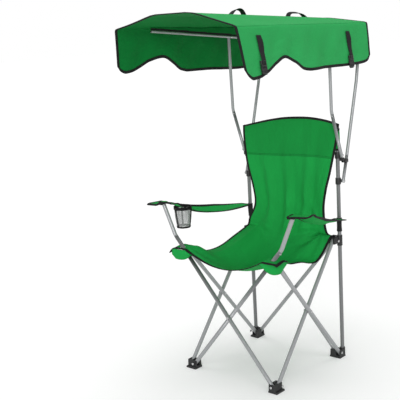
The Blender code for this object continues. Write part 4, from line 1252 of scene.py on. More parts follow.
    def cut_tube_slots(self, cloth: bpy.types.Object) -> None:
        """Opens the slots for the two arm tubes by taking the faces inside them away."""
        shape = bmesh.new()
        shape.from_mesh(cloth.data)
        for side, plane in zip((-1, 1), self.slot_planes):
            cuts = (
                ((1, 0, 0), side * self.slot_inner),
                ((1, 0, 0), side * self.slot_outer),
                ((0, 1, 0), -plane - self.slot_half + STAND_SHIFT.y),
                ((0, 1, 0), -plane + self.slot_half + STAND_SHIFT.y),
            )
            for axis, place in cuts:
                near = []
                for face in shape.faces:
                    middle = face.calc_center_median()
                    if abs(middle.x - side * 0.218) < 0.03 and middle.y < -0.14:
                        near.append(face)
                verts = list({vert for face in near for vert in face.verts})
                sides = list({edge for face in near for edge in face.edges})
                bmesh.ops.bisect_plane(
                    shape, geom=verts + sides + near, plane_co=Vector(axis) * place, plane_no=axis
                )
            inside = []
            for face in shape.faces:
                middle = face.calc_center_median()
                within = self.slot_inner < side * middle.x < self.slot_outer
                if within and abs(middle.y - STAND_SHIFT.y + plane) < self.slot_half:
                    inside.append(face)
            bmesh.ops.delete(shape, geom=inside, context="FACES")
        shape.to_mesh(cloth.data)
        shape.free()

    def binding(self, low: float, high: float, edges: Sequence[str]) -> bmesh.types.BMesh:
        """The tape folded over the cloth's edges.

        Args:
            low: first station.
            high: last station.
            edges: which of left, right, front and top.

        Returns:
            The strips.
        """
        strips = []
        count = 90
        for edge in edges:
            if edge in ("left", "right"):
                side = -1 if edge == "left" else 1

                def strip(inward: float, station: float, side: int = side) -> Vector:
                    return self.surface(side * (1 - inward / self.half(side, station)), station)

                first = low - (0.01 if low == 0.0 else 0.0)
                last = high + (0.02 if high == self.last else 0.0)
                way = tape_way(self.tape_over, self.tape, side < 0)
                strips.append(cloth_grid(strip, way, spread(first, last, count)))
            else:
                station, sign = (0.0, 1) if edge == "front" else (self.last, -1)
                scale = (self.surface(0, station + sign) - self.surface(0, station)).length

                def strip(
                    inward: float, across: float, station: float = station, sign: int = sign, scale: float = scale
                ) -> Vector:
                    return self.surface(across, station + sign * inward / scale)

                way = tape_way(self.tape_over, self.tape, True)
                strips.append(cloth_grid(strip, way, spread(-1.003, 1.003, count)))
        return joined(strips)

    def flap(self, side: Side) -> None:
        """The rounded lobe of cloth that hangs from a front corner over its hub.

        Args:
            side: which corner.
        """
        sign = side.value
        first, last, radius = (0.60, 0.60, 0.022) if side is Side.LEFT else (0.70, 1.55, 0.050)
        edge = [self.surface(sign * across, 0.0) for across in spread(first, 0.94, 12)]
        edge += [self.surface(sign, station) for station in spread(0.22, last, 12)]
        near_tip = []
        if side is Side.LEFT:
            near_tip = [self.surface(sign * across, 0.0) for across in spread(0.95, 1.0, 6)]
            near_tip += [self.surface(sign, station) for station in spread(0.04, 0.20, 5)]
        path = rounded_path([edge[0], self.surface(sign, 0.0), edge[-1]], radius, 24)
        lengths = [0.0]
        for before, after in zip(path, path[1:]):
            lengths.append(lengths[-1] + (after - before).length)

        def along_path(share: float) -> Vector:
            at = share * lengths[-1]
            index = max(index for index, length in enumerate(lengths[:-1]) if length <= at + 1e-9)
            step = (at - lengths[index]) / (lengths[index + 1] - lengths[index])
            return path[index].lerp(path[index + 1], step)

        def lobe(down: float, share: float) -> Vector:
            place = along_path(share)
            ahead = along_path(min(1.0, share + 0.02))
            way = (ahead - along_path(max(0.0, share - 0.02))).normalized()
            out = Vector((way.y, -way.x, 0)).normalized() * sign
            near = min(edge + near_tip, key=lambda point: (point.xy - place.xy).length)
            top = near.z - 0.0028
            bottom = min(top - 0.002, self.corner_z - 0.004 - self.lobe * (1 - abs(2 * share - 1) ** 2.8))
            curl = 0.0035 * math.sin(math.pi * down) - 0.007 * down * down
            curl += 0.0016 * math.cos(13 * share) * down
            return Vector((place.x, place.y, top + (bottom - top) * down)) + out * (0.0012 + curl)

        columns = spread(0.0, 1.0, 11) if side is Side.LEFT else spread(1.0, 0.0, 11)
        shape = cloth_grid(lobe, columns, spread(0.01, 0.99, 49))
        name = f"corner_flap_{side.label}"
        cloth = sewn(shape, name, self.finishes.seat, f"hub_{side.label}", self.thickness)
        declare_cloth(cloth)

    def pocket(self, side: Side) -> None:
        """The sleeve behind a top corner that holds the sling on its post."""
        body = f"rear_{side.label}_post"
        name = f"post_pocket_{side.label}"
        low, high = self.pocket_low, self.pocket_high

        def sleeve(turn: float, height: float) -> Vector:
            angle = math.radians(turn)
            wave = 0.0006 * math.sin(3 * angle + 50 * height)
            place = Vector((math.sin(angle), -math.cos(angle), 0)) * (self.pocket_radius + wave)
            return Vector((side.value * (POST_PLACE + place.x), POST_PLACE + place.y, height))

        columns = spread(-5.0, 265.0, 31) if side is Side.RIGHT else spread(265.0, -5.0, 31)
        shape = cloth_grid(sleeve, columns, spread(low, high, 16))
        cloth = sewn(shape, name, self.finishes.seat, body, self.thickness)
        hems = (spread(low - 0.0008, low + 0.007, 4), spread(high - 0.007, high + 0.0008, 4))
        tape = joined([cloth_grid(sleeve, columns, rows) for rows in hems])
        trim = sewn(tape, f"{name}_binding", self.finishes.binding, body, self.pocket_tape)
        declare_cloth(cloth)


@dataclass
class ArmRests:
    """The two padded arm strips, their webbing loops round the posts and the net cup holder."""

    finishes: Finishes
    front_y: float = -0.250
    rear_y: float = 0.2192
    front_x: float = 0.346
    rear_x: float = 0.240
    front_width: float = 0.104
    rear_width: float = 0.056
    height: float = 0.6979
    left_drop: float = 0.090
    right_drop: float = 0.108
    stations: tuple[float, ...] = (0.0, 0.025, 0.14, 0.21, 0.29, 0.40, 0.52, 0.66, 0.82, 1.0)
    left_drops: tuple[float, ...] = (
        0.03, 0.0, 0.0, 0.24, 0.47, 0.65, 0.78, 0.88,
        0.96, 1.0,
    )
    right_drops: tuple[float, ...] = (
        0.02, 0.0, 0.0, 0.12, 0.26, 0.42, 0.58, 0.73,
        0.88, 1.0,
    )
    tilt: float = 0.011
    tilts: tuple[float, ...] = (0.0, 0.0, 0.0, 0.4, 0.8, 1.0, 1.0, 1.0, 0.6, 0.0)
    thickness: float = 0.0022
    tape: float = 0.0085
    cup_y: float = -0.112
    cup_outset: float = 0.003
    cup_sink: float = 0.007
    droop: float = 0.013
    right_back: float = 0.016
    rim: float = 0.0385
    top: float = 0.0362
    floor: float = 0.027
    depth: float = 0.082
    rim_height: float = 0.018
    tape_over: float = 0.0008
    tape_thickness: float = 0.0036
    hole_gap: float = 0.0006
    tube_top: tuple[float, float] = (0.3122, -0.2285)
    loop_radius: float = 0.0096
    loop_height: float = 0.055
    loop_anchor: float = 0.553
    loop_keep: float = 0.35
    strip_anchor: float = 0.610
    strip_keep: float = 0.26
    web: float = 0.0016
    net: float = 0.0007

    def fall(self, side: Side, share: float) -> float:
        """How far a strip has come down from the tube's top at a share of its length."""
        left = side is Side.LEFT
        drop, drops = (self.left_drop, self.left_drops) if left else (self.right_drop, self.right_drops)
        return drop * eased(self.stations, drops, max(0.0, share))

    def surface(self, side: Side, across: float, share: float) -> Vector:
        """An arm strip's point, across from its inner edge (-1) to its outer edge (1)."""
        inner = max(0.0, share)
        width = self.front_width + share * (self.rear_width - self.front_width)
        width *= 1 - 0.22 * max(0.0, 1 - share / 0.06) ** 2
        x = self.front_x + share * (self.rear_x - self.front_x) + across * width / 2
        y = self.front_y + share * (self.rear_y - self.front_y)
        z = self.height - self.fall(side, share)
        z -= 0.012 * (1 - across * across) * math.sin(math.pi * min(1.0, inner)) ** 2
        z += 0.0012 * math.cos(26 * share + 2 * across) * (1 - abs(across)) * clamped((1 - share) * 4)
        lean = eased(self.stations, self.tilts, inner)
        if side is Side.LEFT:
            z += self.tilt * across * lean
            away = math.hypot(x - self.tube_top[0], y - self.tube_top[1])
            past = clamped((away - 0.011) / 0.024)
            z -= self.droop * past * past * (3 - 2 * past) * clamped((0.26 - share) / 0.12)
        else:
            z += self.tilt * across * max(0.45, lean) * (1 if share < 0.82 else lean / 0.6)
            z += 0.002 * max(0.0, 1 - inner / 0.2)
            y += self.right_back * max(0.0, 1 - inner / 0.5)
        return Vector((side.value * x, y, z))

    def cup_centre(self) -> Vector:
        """The cup's middle at its rim."""
        share = (self.cup_y - self.front_y) / (self.rear_y - self.front_y)
        width = self.front_x + share * (self.rear_x - self.front_x)
        height = self.height - self.fall(Side.LEFT, share) - self.cup_sink
        return Vector((-width - self.cup_outset, self.cup_y, height))

    def build(self) -> None:
        """Builds both arms and the cup holder."""
        for side in Side:
            self.strip(side)
            self.loop(side)
        self.cup_holder()

    def strip(self, side: Side) -> None:
        """One arm strip with its binding.

        Args:
            side: which arm.
        """
        flip = -1 if side is Side.LEFT else 1
        columns = [flip * value for value in spread(-1.0, 1.0, 21)]

        def cloth_surface(across: float, share: float) -> Vector:
            return self.surface(side, across, share)

        node = f"arm_strip_{side.label}"
        body = f"slider_{side.label}"
        shape = cloth_grid(cloth_surface, columns, spread(0.0, 1.0, 81))
        cloth = finish_piece(shape, f"{node}_cloth", [self.finishes.seat], body, [node], SMOOTH_ALL_OVER)
        if side is Side.LEFT:
            self.cut_cup_hole(cloth)
        thicken(cloth, self.thickness)
        strips = []
        length = self.rear_y - self.front_y
        for edge in (-1, 1):

            def long_strip(inward: float, share: float, edge: int = edge) -> Vector:
                half = (self.front_width + share * (self.rear_width - self.front_width)) / 2
                return self.surface(side, edge * (1 - inward / half), share)

            way = tape_way(self.tape_over, self.tape, edge * flip < 0)
            strips.append(cloth_grid(long_strip, way, spread(-0.002, 1.002, 90)))
        for start, sign in ((0.0, 1), (1.0, -1)):

            def end_strip(inward: float, across: float, start: float = start, sign: int = sign) -> Vector:
                return self.surface(side, across, start + sign * inward / length)

            way = tape_way(self.tape_over, self.tape * (1.6 if sign > 0 else 1.0), True)
            strips.append(cloth_grid(end_strip, way, spread(-1.01, 1.01, 30)))
        trim = sewn(joined(strips), f"{node}_binding", self.finishes.binding, body, self.tape_thickness)
        declare_cloth(cloth)
        for piece in (cloth, trim):
            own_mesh(piece)

    def cut_cup_hole(self, cloth: bpy.types.Object) -> None:
        """Cuts the round hole that the cup hangs in."""
        centre = self.cup_centre() + STAND_SHIFT
        cutter = bmesh.new()
        radius = self.rim + self.hole_gap
        bmesh.ops.create_cone(
            cutter,
            cap_ends=True,
            segments=48,
            radius1=radius,
            radius2=radius,
            depth=0.09,
            matrix=Matrix.Translation(centre),
        )
        holder = bpy.data.meshes.new("cup_cutter")
        cutter.to_mesh(holder)
        cutter.free()
        tool = bpy.data.objects.new("cup_cutter", holder)
        bpy.context.scene.collection.objects.link(tool)
        cut = cloth.modifiers.new("cup_hole", "BOOLEAN")
        cut.object = tool
        cut.operation = "DIFFERENCE"
        cut.solver = "EXACT"
        bpy.context.view_layer.update()
        graph = bpy.context.evaluated_depsgraph_get()
        result = bpy.data.meshes.new_from_object(cloth.evaluated_get(graph), depsgraph=graph)
        cloth.modifiers.clear()
        cloth.data = result
        bpy.data.objects.remove(tool)
        shape = bmesh.new()
        shape.from_mesh(cloth.data)
        wrong = [face for face in shape.faces if (face.calc_center_median().xy - centre.xy).length < self.rim]
        bmesh.ops.delete(shape, geom=wrong, context="FACES")
        shape.to_mesh(cloth.data)
        shape.free()

    def loop(self, side: Side) -> None:
        """The black webbing loop that holds an arm strip to its post."""
        top = self.surface(side, 0.0, 1.0).z + 0.0026
        place = Vector((side.value * POST_PLACE, POST_PLACE, 0.0))

        def band(turn: float, height: float) -> Vector:
            angle = math.radians(turn)
            radius = self.loop_radius + 0.0007 * math.sin(2 * angle + 90 * height)
            return place + Vector((math.sin(angle) * radius, -math.cos(angle) * radius, height))

        shape = cloth_grid(band, spread(0.0, 360.0, 41), spread(top - self.loop_height, top, 12))
        name = f"arm_loop_{side.label}"
        piece = sewn(shape, name, self.finishes.webbing, f"slider_{side.label}", self.web)
        declare_cloth(piece)
        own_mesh(piece)

    def cup_holder(self) -> None:
        """The net cup with its rim band, floor ring and upright tapes."""
        centre = self.cup_centre()
        bottom = centre - Vector((0, 0, self.depth))
        body = "hub_left"
        round_it = spread(0.0, 360.0, 61)

        def outward(turn: float) -> Vector:
            angle = math.radians(turn)
            return Vector((math.cos(angle), math.sin(angle), 0))

        def wall(turn: float, rise: float) -> Vector:
            angle = math.radians(turn)
            radius = self.floor + (self.top - self.floor) * rise + 0.0012 * math.sin(math.pi * rise)
            radius += 0.0007 * math.cos(6 * angle + 4 * rise)
            height = rise * (self.depth - 0.003)
            return bottom + Vector((math.cos(angle) * radius, math.sin(angle) * radius, height))

        def base(turn: float, out: float) -> Vector:
            dome = Vector((0, 0, 0.0016 - 0.9 * (out - self.floor) ** 2))
            return bottom + outward(turn) * out + dome

        def band(turn: float, height: float) -> Vector:
            angle = math.radians(turn)
            radius = self.top + 0.0011 + 0.0002 * math.cos(8 * angle)
            return centre + Vector((math.cos(angle) * radius, math.sin(angle) * radius, height))

        def ring(turn: float, height: float) -> Vector:
            return wall(turn, height) + outward(turn) * 0.0009

        shape = cloth_grid(wall, round_it, spread(0.0, 1.0, 17))
        net = sewn(shape, "cup_net_wall", self.finishes.net, body, self.net, ["cup_holder"])
        shape = cloth_grid(base, round_it, spread(0.0004, self.floor - 0.0004, 8))
        ground = sewn(shape, "cup_net_floor", self.finishes.net, body, self.net)
        tapes = [cloth_grid(band, round_it, spread(-0.004, self.rim_height / 2, 6))]
        tapes.append(cloth_grid(ring, round_it, spread(0.0, 0.09, 3)))
        for middle in (20.0, 140.0, 260.0):
            tapes.append(cloth_grid(ring, spread(middle - 7, middle + 7, 5), spread(0.05, 1.0, 17)))
        trim = sewn(joined(tapes), "cup_trim", self.finishes.binding, body, self.web)
        declare_cloth(net)
        declare_cloth(ground)


@dataclass
class Canopy:
    """The roof with its scalloped walls, binding, sleeves on the rails, carry handles and wall straps."""

    finishes: Finishes
    tubes: Tubework
    front_y: float = -0.450
    rear_y: float = 0.398
    front_half: float = 0.284
    rear_half: float = 0.273
    crown: float = 0.092
    seam_front: float = 1.379
    seam_rear: float = 1.364
    rise_front: float = 0.055
    rise_rear: float = 0.026
    wall_drop: float = 0.163
    flare: float = 0.030
    slant: float = 0.026
    right_slant: float = 0.010
    left_lift: float = 0.012
    thickness: float = 0.0013
    tape: float = 0.0095
    strap_lean: float = 0.012
    hem_stations: tuple[float, ...] = (
        0.0, 0.02, 0.05, 0.09, 0.15, 0.22, 0.30, 0.37,
        0.43, 0.48, 0.60, 0.72, 0.84, 0.93, 0.975, 1.0,
    )
    right_drops: tuple[float, ...] = (
        0.87, 1.01, 1.09, 1.07, 0.98, 0.82, 0.70, 0.82,
        0.99, 1.02, 1.0, 1.0, 0.99, 0.97, 0.92, 0.78,
    )
    left_drops: tuple[float, ...] = (
        0.76, 0.88, 0.93, 0.91, 0.82, 0.69, 0.62, 0.78,
        0.96, 1.0, 1.0, 1.02, 1.04, 1.02, 0.97, 0.82,
    )
    keep: float = 0.322
    strap_keep: float = 0.62
    anchor_x: float = -0.250
    anchor_z: float = 1.35
    sleeve_band: float = 0.013
    tape_over: float = 0.0010
    tape_thickness: float = 0.0032
    web: float = 0.0016
    handle_thickness: float = 0.0018
    handle_half_width: float = 0.0125
    strap_thickness: float = 0.0017
    strap_half_width: float = 0.012

    @property
    def length(self) -> float:
        """The roof's length."""
        return self.rear_y - self.front_y

    def hem_drop(self, side: int, share: float) -> float:
        """How far a wall hangs below its seam at a share of the roof's length."""
        return self.wall_drop * eased(self.hem_stations, self.right_drops if side > 0 else self.left_drops, share)

    def profile(self, column: float, share: float) -> Vector:
        """The roof without its creases: columns run from one hem (-3) over the seams to the other hem (3)."""
        side = 1 if column > 0 else -1
        step = abs(column)
        seam_y = self.front_y + share * self.length
        half = self.front_half + share * (self.rear_half - self.front_half)
        seam_z = self.seam_front + share * (self.seam_rear - self.seam_front)
        rise = self.rise_front + share * (self.rise_rear - self.rise_front)
        inner = clamped(share)
        lift = self.left_lift * (1 - 0.6 * inner) if side < 0 else 0.0
        if step <= 1:
            return Vector((side * step * self.crown, seam_y, seam_z + rise))
        if step <= 2:
            slope = step - 1
            x = self.crown + slope * (half - self.crown)
            return Vector((side * x, seam_y, seam_z + rise * (1 - slope) + lift * slope * slope))
        down = step - 2
        drop = self.hem_drop(side, inner)
        slant = self.slant if side < 0 else self.right_slant
        lean = slant * max(0.0, 1 - inner / self.hem_stations[5]) * drop / self.wall_drop
        out = self.flare * (1 - inner / 2) * drop / self.wall_drop
        return Vector((side * (half + down * out), seam_y + down * lean, seam_z + lift - down * (drop + lift)))

    def surface(self, column: float, share: float) -> Vector:
        """The roof with softened seams, a slight sag and creases."""
        step = abs(column)
        reach = 0.20 if step < 1.4 else max(0.05, 0.20 - 0.5 * (step - 1.4))
        point = self.profile(column, share)
        if step < 2.94:
            beside = self.profile(column - reach, share) + self.profile(column + reach, share)
            point = point * 0.5 + beside * 0.25
        side = 1 if column > 0 else -1
        inner = clamped(share)
        tight = math.sin(math.pi * inner)
        if step <= 2:
            slope = max(0.0, step - 1)
            point.z -= 0.0050 * tight * (1 - min(1.0, step) ** 2) + 0.0065 * tight * math.sin(math.pi * slope)
            ripple = 0.0011 * math.sin(31 * inner + 5 * slope * side)
            point.z += ripple * math.sin(math.pi * min(1.0, slope)) * tight
            return point
        down = step - 2
        y, z = point.y, point.z
        crease = 0.0034 * math.sin(30 * (y * 0.80 + z * 1.05) + side)
        crease += 0.0020 * math.sin(61 * (y * 0.9 - z * 0.5) + 1.7)
        droop = 0.0024 * math.sin(24 * y + 2.0)
        shift = crease * math.sin(math.pi * min(1.0, down) * 0.85) + droop * down
        point.x += side * shift * min(1.0, 6 * inner + 0.15) * min(1.0, 6 * (1 - inner) + 0.15)
        return point

    def build(self) -> None:
        """Builds the roof and everything sewn on it."""
        panels = ((-3.0, -2.0), (-2.0, -1.0), (-1.0, 1.0), (1.0, 2.0), (2.0, 3.0))
        columns = joined_spreads(*((low, high, 17) for low, high in panels))
        shape = cloth_grid(self.surface, columns, spread(0.0, 1.0, 121))
        outer = self.roof_finish(shape, columns)
        # The roof's far side takes the darker underside cloth, painted shade.
        both = [outer, self.finishes.roof_inside]
        cloth = finish_piece(shape, "canopy_roof", both, "rail_left", ["canopy_fabric"], SMOOTH_ALL_OVER)
        thicken(cloth, self.thickness, 1)
        tape = self.finishes.binding
        trim = sewn(self.binding(), "canopy_roof_binding", tape, "rail_left", self.tape_thickness)
        pieces = [cloth, trim]
        for word, y in (("front", -0.085), ("rear", 0.300)):
            pieces.append(self.handle(word, y))
        loops = joined([self.loop(-0.240), self.loop(0.130)])
        pieces.append(sewn(loops, "canopy_web_loops", self.finishes.webbing, "rail_left", self.web))
        declare_cloth(cloth)
        for piece in pieces:
            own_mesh(piece)
        for side in Side:
            self.sleeve(side)
        for word, y, length in (("front", -0.337, 0.168), ("rear", 0.238, 0.174)):
            self.wall_strap(word, y, length)

    def roof_finish(self, shape: bmesh.types.BMesh, columns: Sequence[float]) -> bpy.types.Material:
        """The roof's outer cloth, with its four long seams."""
        layer = shape.loops.layers.uv["UVMap"]
        edges = sorted({round(loop[layer].uv[0], 5) for face in shape.faces for loop in face.loops})
        seams = tuple(edges[columns.index(column)] for column in (-2.0, -1.0, 1.0, 2.0))
        return ClothFinish("roof_cloth", ROOF_GREEN, ROOF_SHADE, seams).make()

    def binding(self) -> bmesh.types.BMesh:
        """The tape over the roof's front and rear edges and both hems."""
        strips = []
        arch = joined_spreads(
            (-3.0, -2.0, 25), (-2.0, -1.0, 15), (-1.0, 1.0, 9), (1.0, 2.0, 15), (2.0, 3.0, 25)
        )
        for start, sign in ((0.0, 1), (1.0, -1)):

            def edge(inward: float, column: float, start: float = start, sign: int = sign) -> Vector:
                return self.surface(column, start + sign * inward / self.length)

            strips.append(cloth_grid(edge, tape_way(self.tape_over, self.tape, sign < 0), arch))
        for side in (-1, 1):

            def hem(inward: float, share: float, side: int = side) -> Vector:
                return self.surface(side * (3.0 - inward / self.hem_drop(side, clamped(share))), share)

            way = tape_way(self.tape_over, self.tape, side < 0)
            strips.append(cloth_grid(hem, way, spread(-0.0006, 1.0006, 141)))
        return joined(strips)

    def ground(self, y: float) -> float:
        """The crown's height at a y."""
        return self.surface(0.0, (y - self.front_y) / self.length).z

    def handle(self, word: str, y: float) -> bpy.types.Object:
        """A carry handle: a bowed band, sewn flat at both ends.

        Args:
            word: front or rear.
            y: its middle.

        Returns:
            The handle.
        """
        if word == "front":
            lean, half, bend, rise = 0.10, 0.056, 2.3, 0.0275
        else:
            lean, half, bend, rise = -0.14, 0.078, 4.0, 0.0225
            y += 0.006

        def band(across: float, along: float) -> Vector:
            arch = max(0.0, 1 - (abs(along) / 0.80) ** bend)
            place = y + along * half + lean * 0.10 * arch
            twist = lean * 2.0 * arch * math.sin(math.pi * (along + 1) / 2)
            pinch = 1 - 0.22 * arch
            height = self.ground(y + along * half) + 0.0026 + rise * arch
            reach = across * self.handle_half_width
            return Vector((reach * pinch * math.cos(twist), place, height + reach * math.sin(twist)))

        node = f"canopy_handle_{word}"
        shape = cloth_grid(band, spread(-1.0, 1.0, 7), spread(-1.0, 1.0, 41), True)
        web = self.finishes.webbing
        return sewn(shape, f"{node}_band", web, "rail_left", self.handle_thickness, [node])

    def loop(self, y: float) -> bmesh.types.BMesh:
        """A small webbing loop sewn on the crown."""

        def band(across: float, along: float) -> Vector:
            arch = max(0.0, 1 - along * along)
            return Vector((across * 0.008, y + along * 0.011, self.ground(y) + 0.0024 + 0.0062 * arch))

        return cloth_grid(band, spread(-1.0, 1.0, 5), spread(-1.0, 1.0, 17), True)

    def sleeve(self, side: Side) -> None:
        """The black strip that hangs the roof on its rail, folded round the rail's top."""
        tubes = self.tubes
        node = f"rail_sleeve_{side.label}"

        def strip(down: float, y: float) -> Vector:
            share = (y - self.front_y) / self.length
            half = self.front_half + share * (self.rear_half - self.front_half)
            slope = (tubes.rail_x - self.crown) / (half - self.crown)
            roof = self.surface(side.value * (1 + slope), share).z - 0.0012
            rail = tubes.rail_height(y) + tubes.rail_radius + 0.0006
            wave = 0.0009 * math.sin(55 * y) * math.sin(math.pi * down)
            return Vector((side.value * (tubes.rail_x + wave), y, roof + (rail - roof) * down))

        shape = cloth_grid(strip, spread(0.0, 1.0, 13), spread(tubes.rail_front, tubes.rail_rear, 61))
        # Faces above the band take the roof's darker underside cloth, painted shade; the band itself is black
        # tape.
        for face in shape.faces:
            middle = face.calc_center_median()
            face.material_index = 0 if middle.z > tubes.rail_height(middle.y) + self.sleeve_band else 1
        both = [self.finishes.roof_inside, self.finishes.binding]
        piece = finish_piece(shape, f"{node}_strip", both, f"rail_{side.label}", [node], SMOOTH_ALL_OVER)
        thicken(piece, self.web)
        declare_cloth(piece)

    def wall_strap(self, word: str, y: float, length: float) -> None:
        """A strap down the right wall with its side-release buckle.

        Args:
            word: front or rear.
            y: where it is sewn.
            length: how far it hangs.
        """
        share = (y - self.front_y) / self.length
        top = self.profile(2.0, share)
        hem = self.profile(3.0, share)
        drop = (hem - top).length
        down = (hem - top).normalized()
        out = Vector((0, 1, 0)).cross(down).normalized()
        if out.x < 0:
            out = -out
        start = drop / 5
        node = f"canopy_strap_{word}"

        def band(across: float, along: float) -> Vector:
            column = 2.0 + min(1.0, (start + along * (length - start)) / drop)
            wall = self.surface(column, share)
            past = max(0.0, start + along * (length - start) - drop)
            twist = 0.55 * math.sin(2.3 * math.pi * along) * min(1.0, along * 5) * (1 - along)
            lift = 0.0040 + 0.0030 * math.sin(3.1 * math.pi * along) * (1 - along) + 0.0035 * along
            middle = wall + down * past + out * lift - Vector((0, self.strap_lean * along, 0))
            width = self.strap_half_width
            bulge = across * width * math.sin(twist) * 0.5 + 0.002 * abs(math.sin(twist))
            return middle + Vector((0, 1, 0)) * across * width * math.cos(twist) + out * bulge

        strap = cloth_grid(band, spread(-1.0, 1.0, 7), spread(0.0, 1.0, 41), True)
        web = self.finishes.webbing
        piece = sewn(strap, f"{node}_web", web, "rail_right", self.strap_thickness, [node])
        end = band(0.0, 1.0)
        turn = Matrix((Vector((0, 1, 0)), out, down)).transposed().to_4x4()
        shape = self.buckle(Matrix.Translation(end - down * 0.026 + out * 0.0012) @ turn)
        plastic = [self.finishes.plastic]
        buckle = finish_piece(shape, f"{node}_buckle", plastic, "rail_right", smooth_angle=35)
        for part in (piece, buckle):
            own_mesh(part)

    def buckle(self, place: Matrix) -> bmesh.types.BMesh:
        """A side-release buckle: a socket with windows, and a ladder bar with a slot.

        Args:
            place: its middle and its axes: across, out of the wall and down.

        Returns:
            The shape.
        """
        parts = []
        outward = (place.to_3x3() @ Vector((0, 1, 0))).normalized()
        sections = (
            (-0.0225, -0.0035, 0.0135, 0.0040),
            (-0.0030, 0.0120, 0.0150, 0.0034),
            (0.0125, 0.0225, 0.0140, 0.0036),
        )
        for low, high, half, depth in sections:
            block = bmesh.new()
            middle = Matrix.Translation((0, 0, (low + high) / 2))
            size = Matrix.Diagonal((2 * half, 2 * depth, high - low, 1))
            bmesh.ops.create_cube(block, size=1.0, matrix=place @ middle @ size)
            bmesh.ops.bevel(
                block,
                geom=block.edges[:],
                offset=0.0014,
                offset_type="OFFSET",
                affect="EDGES",
                segments=3,
                profile=0.5,
                material=-1,
            )
            faces = [face for face in block.faces if face.normal.dot(outward) > 0.95]
            bmesh.ops.inset_region(block, faces=faces, thickness=0.0028, depth=0.0)
            flat = [face for face in block.faces if face.normal.dot(outward) > 0.95]
            inner = [face for face in flat if face.calc_area() > 2e-5]
            if inner:
                widest = max(inner, key=lambda face: face.calc_area())
                bmesh.ops.translate(block, vec=-outward * 0.0016, verts=list(widest.verts))
            parts.append(block)
        return joined(parts)


@dataclass(frozen=True)
class Lamp:
    """A soft, distant lamp."""

    name: str
    strength: float
    spread_angle: float
    way: tuple[float, float, float]

    def hang(self) -> None:
        """Puts the lamp in the scene."""
        lamp = bpy.data.lights.new(self.name, "SUN")
        lamp.energy = self.strength
        lamp.angle = math.radians(self.spread_angle)
        made = bpy.data.objects.new(self.name, lamp)
        made.rotation_euler = Vector(self.way).to_track_quat("-Z", "Y").to_euler()
        bpy.context.scene.collection.objects.link(made)


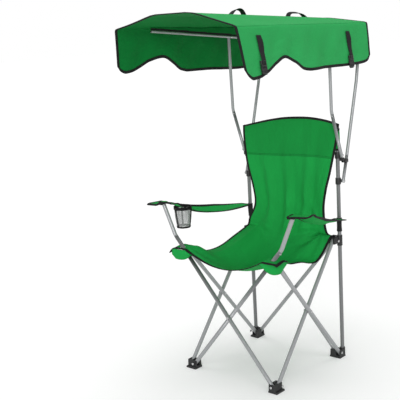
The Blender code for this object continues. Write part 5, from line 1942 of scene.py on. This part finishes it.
@dataclass
class Studio:
    """A pale floor, soft light and the camera."""

    yaw: float = -0.734061
    pitch: float = 0.201149
    roll: float = -0.0591833
    lens: float = 75.9175
    eye: tuple[float, float, float] = (2.0468, -2.5962, 1.3804)
    world_level: float = 0.48
    floor_glow: float = 0.24
    floor_white: float = 0.80
    lamps: tuple[Lamp, ...] = (
        Lamp("overhead", 1.35, 46.0, (0.05, -0.02, -1.0)),
        Lamp("front", 1.30, 30.0, (-0.52, 0.78, -0.30)),
    )

    def camera(self) -> None:
        """Sets the camera at the photograph's viewing angle."""
        ahead = math.cos(self.pitch)
        fwd = Vector((math.sin(self.yaw) * ahead, math.cos(self.yaw) * ahead, -math.sin(self.pitch)))
        level = Vector((math.cos(self.yaw), -math.sin(self.yaw), 0))
        above = level.cross(fwd)
        right = level * math.cos(self.roll) + above * math.sin(self.roll)
        up = above * math.cos(self.roll) - level * math.sin(self.roll)
        data = bpy.data.cameras.new("camera")
        data.lens = self.lens
        data.sensor_width = 36.0
        made = bpy.data.objects.new("camera", data)
        turn = Matrix((right, up, -fwd)).transposed().to_4x4()
        made.matrix_world = Matrix.Translation(Vector(self.eye)) @ turn
        bpy.context.scene.collection.objects.link(made)
        bpy.context.scene.camera = made

    def floor(self) -> None:
        """Lays the floor, white to the eye, which keeps the chair's shadow."""
        shape = bmesh.new()
        bmesh.ops.create_grid(shape, x_segments=1, y_segments=1, size=40.0)
        mesh = bpy.data.meshes.new("floor")
        shape.to_mesh(mesh)
        shape.free()
        graph = Graph("floor_paper")
        ray = graph.add("ShaderNodeLightPath", {}, {}, "Is Camera Ray")
        glossy = Wire(graph, ray.socket.node.outputs["Is Glossy Ray"])
        clear = Wire(graph, ray.socket.node.outputs["Is Transmission Ray"])
        seen = ray.at_least(glossy).at_least(clear)
        white = self.floor_white
        paper = graph.add("ShaderNodeBsdfDiffuse", {}, {"Color": (white, white, white, 1.0)})
        glow_inputs = {"Color": (1.0, 1.0, 1.0, 1.0), "Strength": seen * self.floor_glow}
        glow = graph.add("ShaderNodeEmission", {}, glow_inputs)
        both = graph.add("ShaderNodeAddShader", {}, {0: paper, 1: glow})
        graph.add("ShaderNodeOutputMaterial", {}, {"Surface": both})
        mesh.materials.append(graph.material)
        made = bpy.data.objects.new("floor", mesh)
        bpy.context.scene.collection.objects.link(made)

    def light(self) -> None:
        """Lights the chair softly from above and the front, in front of a white background."""
        world = bpy.data.worlds.new("studio")
        world.use_nodes = True
        bpy.context.scene.world = world
        tree = world.node_tree
        tree.nodes.clear()
        output = tree.nodes.new("ShaderNodeOutputWorld")
        back = tree.nodes.new("ShaderNodeBackground")
        soft = tree.nodes.new("ShaderNodeBackground")
        mixed = tree.nodes.new("ShaderNodeMixShader")
        rays = tree.nodes.new("ShaderNodeLightPath")
        white = tree.nodes.new("ShaderNodeMath")
        white.operation = "MAXIMUM"
        tree.links.new(rays.outputs["Is Camera Ray"], white.inputs[0])
        tree.links.new(rays.outputs["Is Transmission Ray"], white.inputs[1])
        for node, level in ((back, 1.0), (soft, self.world_level)):
            node.inputs["Strength"].default_value = level
            node.inputs["Color"].default_value = (1, 1, 1, 1)
        tree.links.new(white.outputs[0], mixed.inputs[0])
        tree.links.new(soft.outputs[0], mixed.inputs[1])
        tree.links.new(back.outputs[0], mixed.inputs[2])
        tree.links.new(mixed.outputs[0], output.inputs["Surface"])
        for lamp in self.lamps:
            lamp.hang()

    def build(self) -> None:
        """Sets up the whole studio."""
        self.camera()
        self.floor()
        self.light()
        bpy.context.scene.view_settings.view_transform = "Standard"


def main() -> None:
    """Builds the chair's looks and the studio."""
    logging.basicConfig(level=logging.INFO, format="%(message)s")
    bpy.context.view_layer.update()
    studio = Studio()
    studio.build()
    finishes = Finishes()
    tubes = Tubework(finishes)
    tubes.build()
    Fittings(finishes, tubes).build()
    Sling(finishes).build()
    ArmRests(finishes).build()
    Canopy(finishes, tubes).build()


if __name__ == "__main__":
    main()
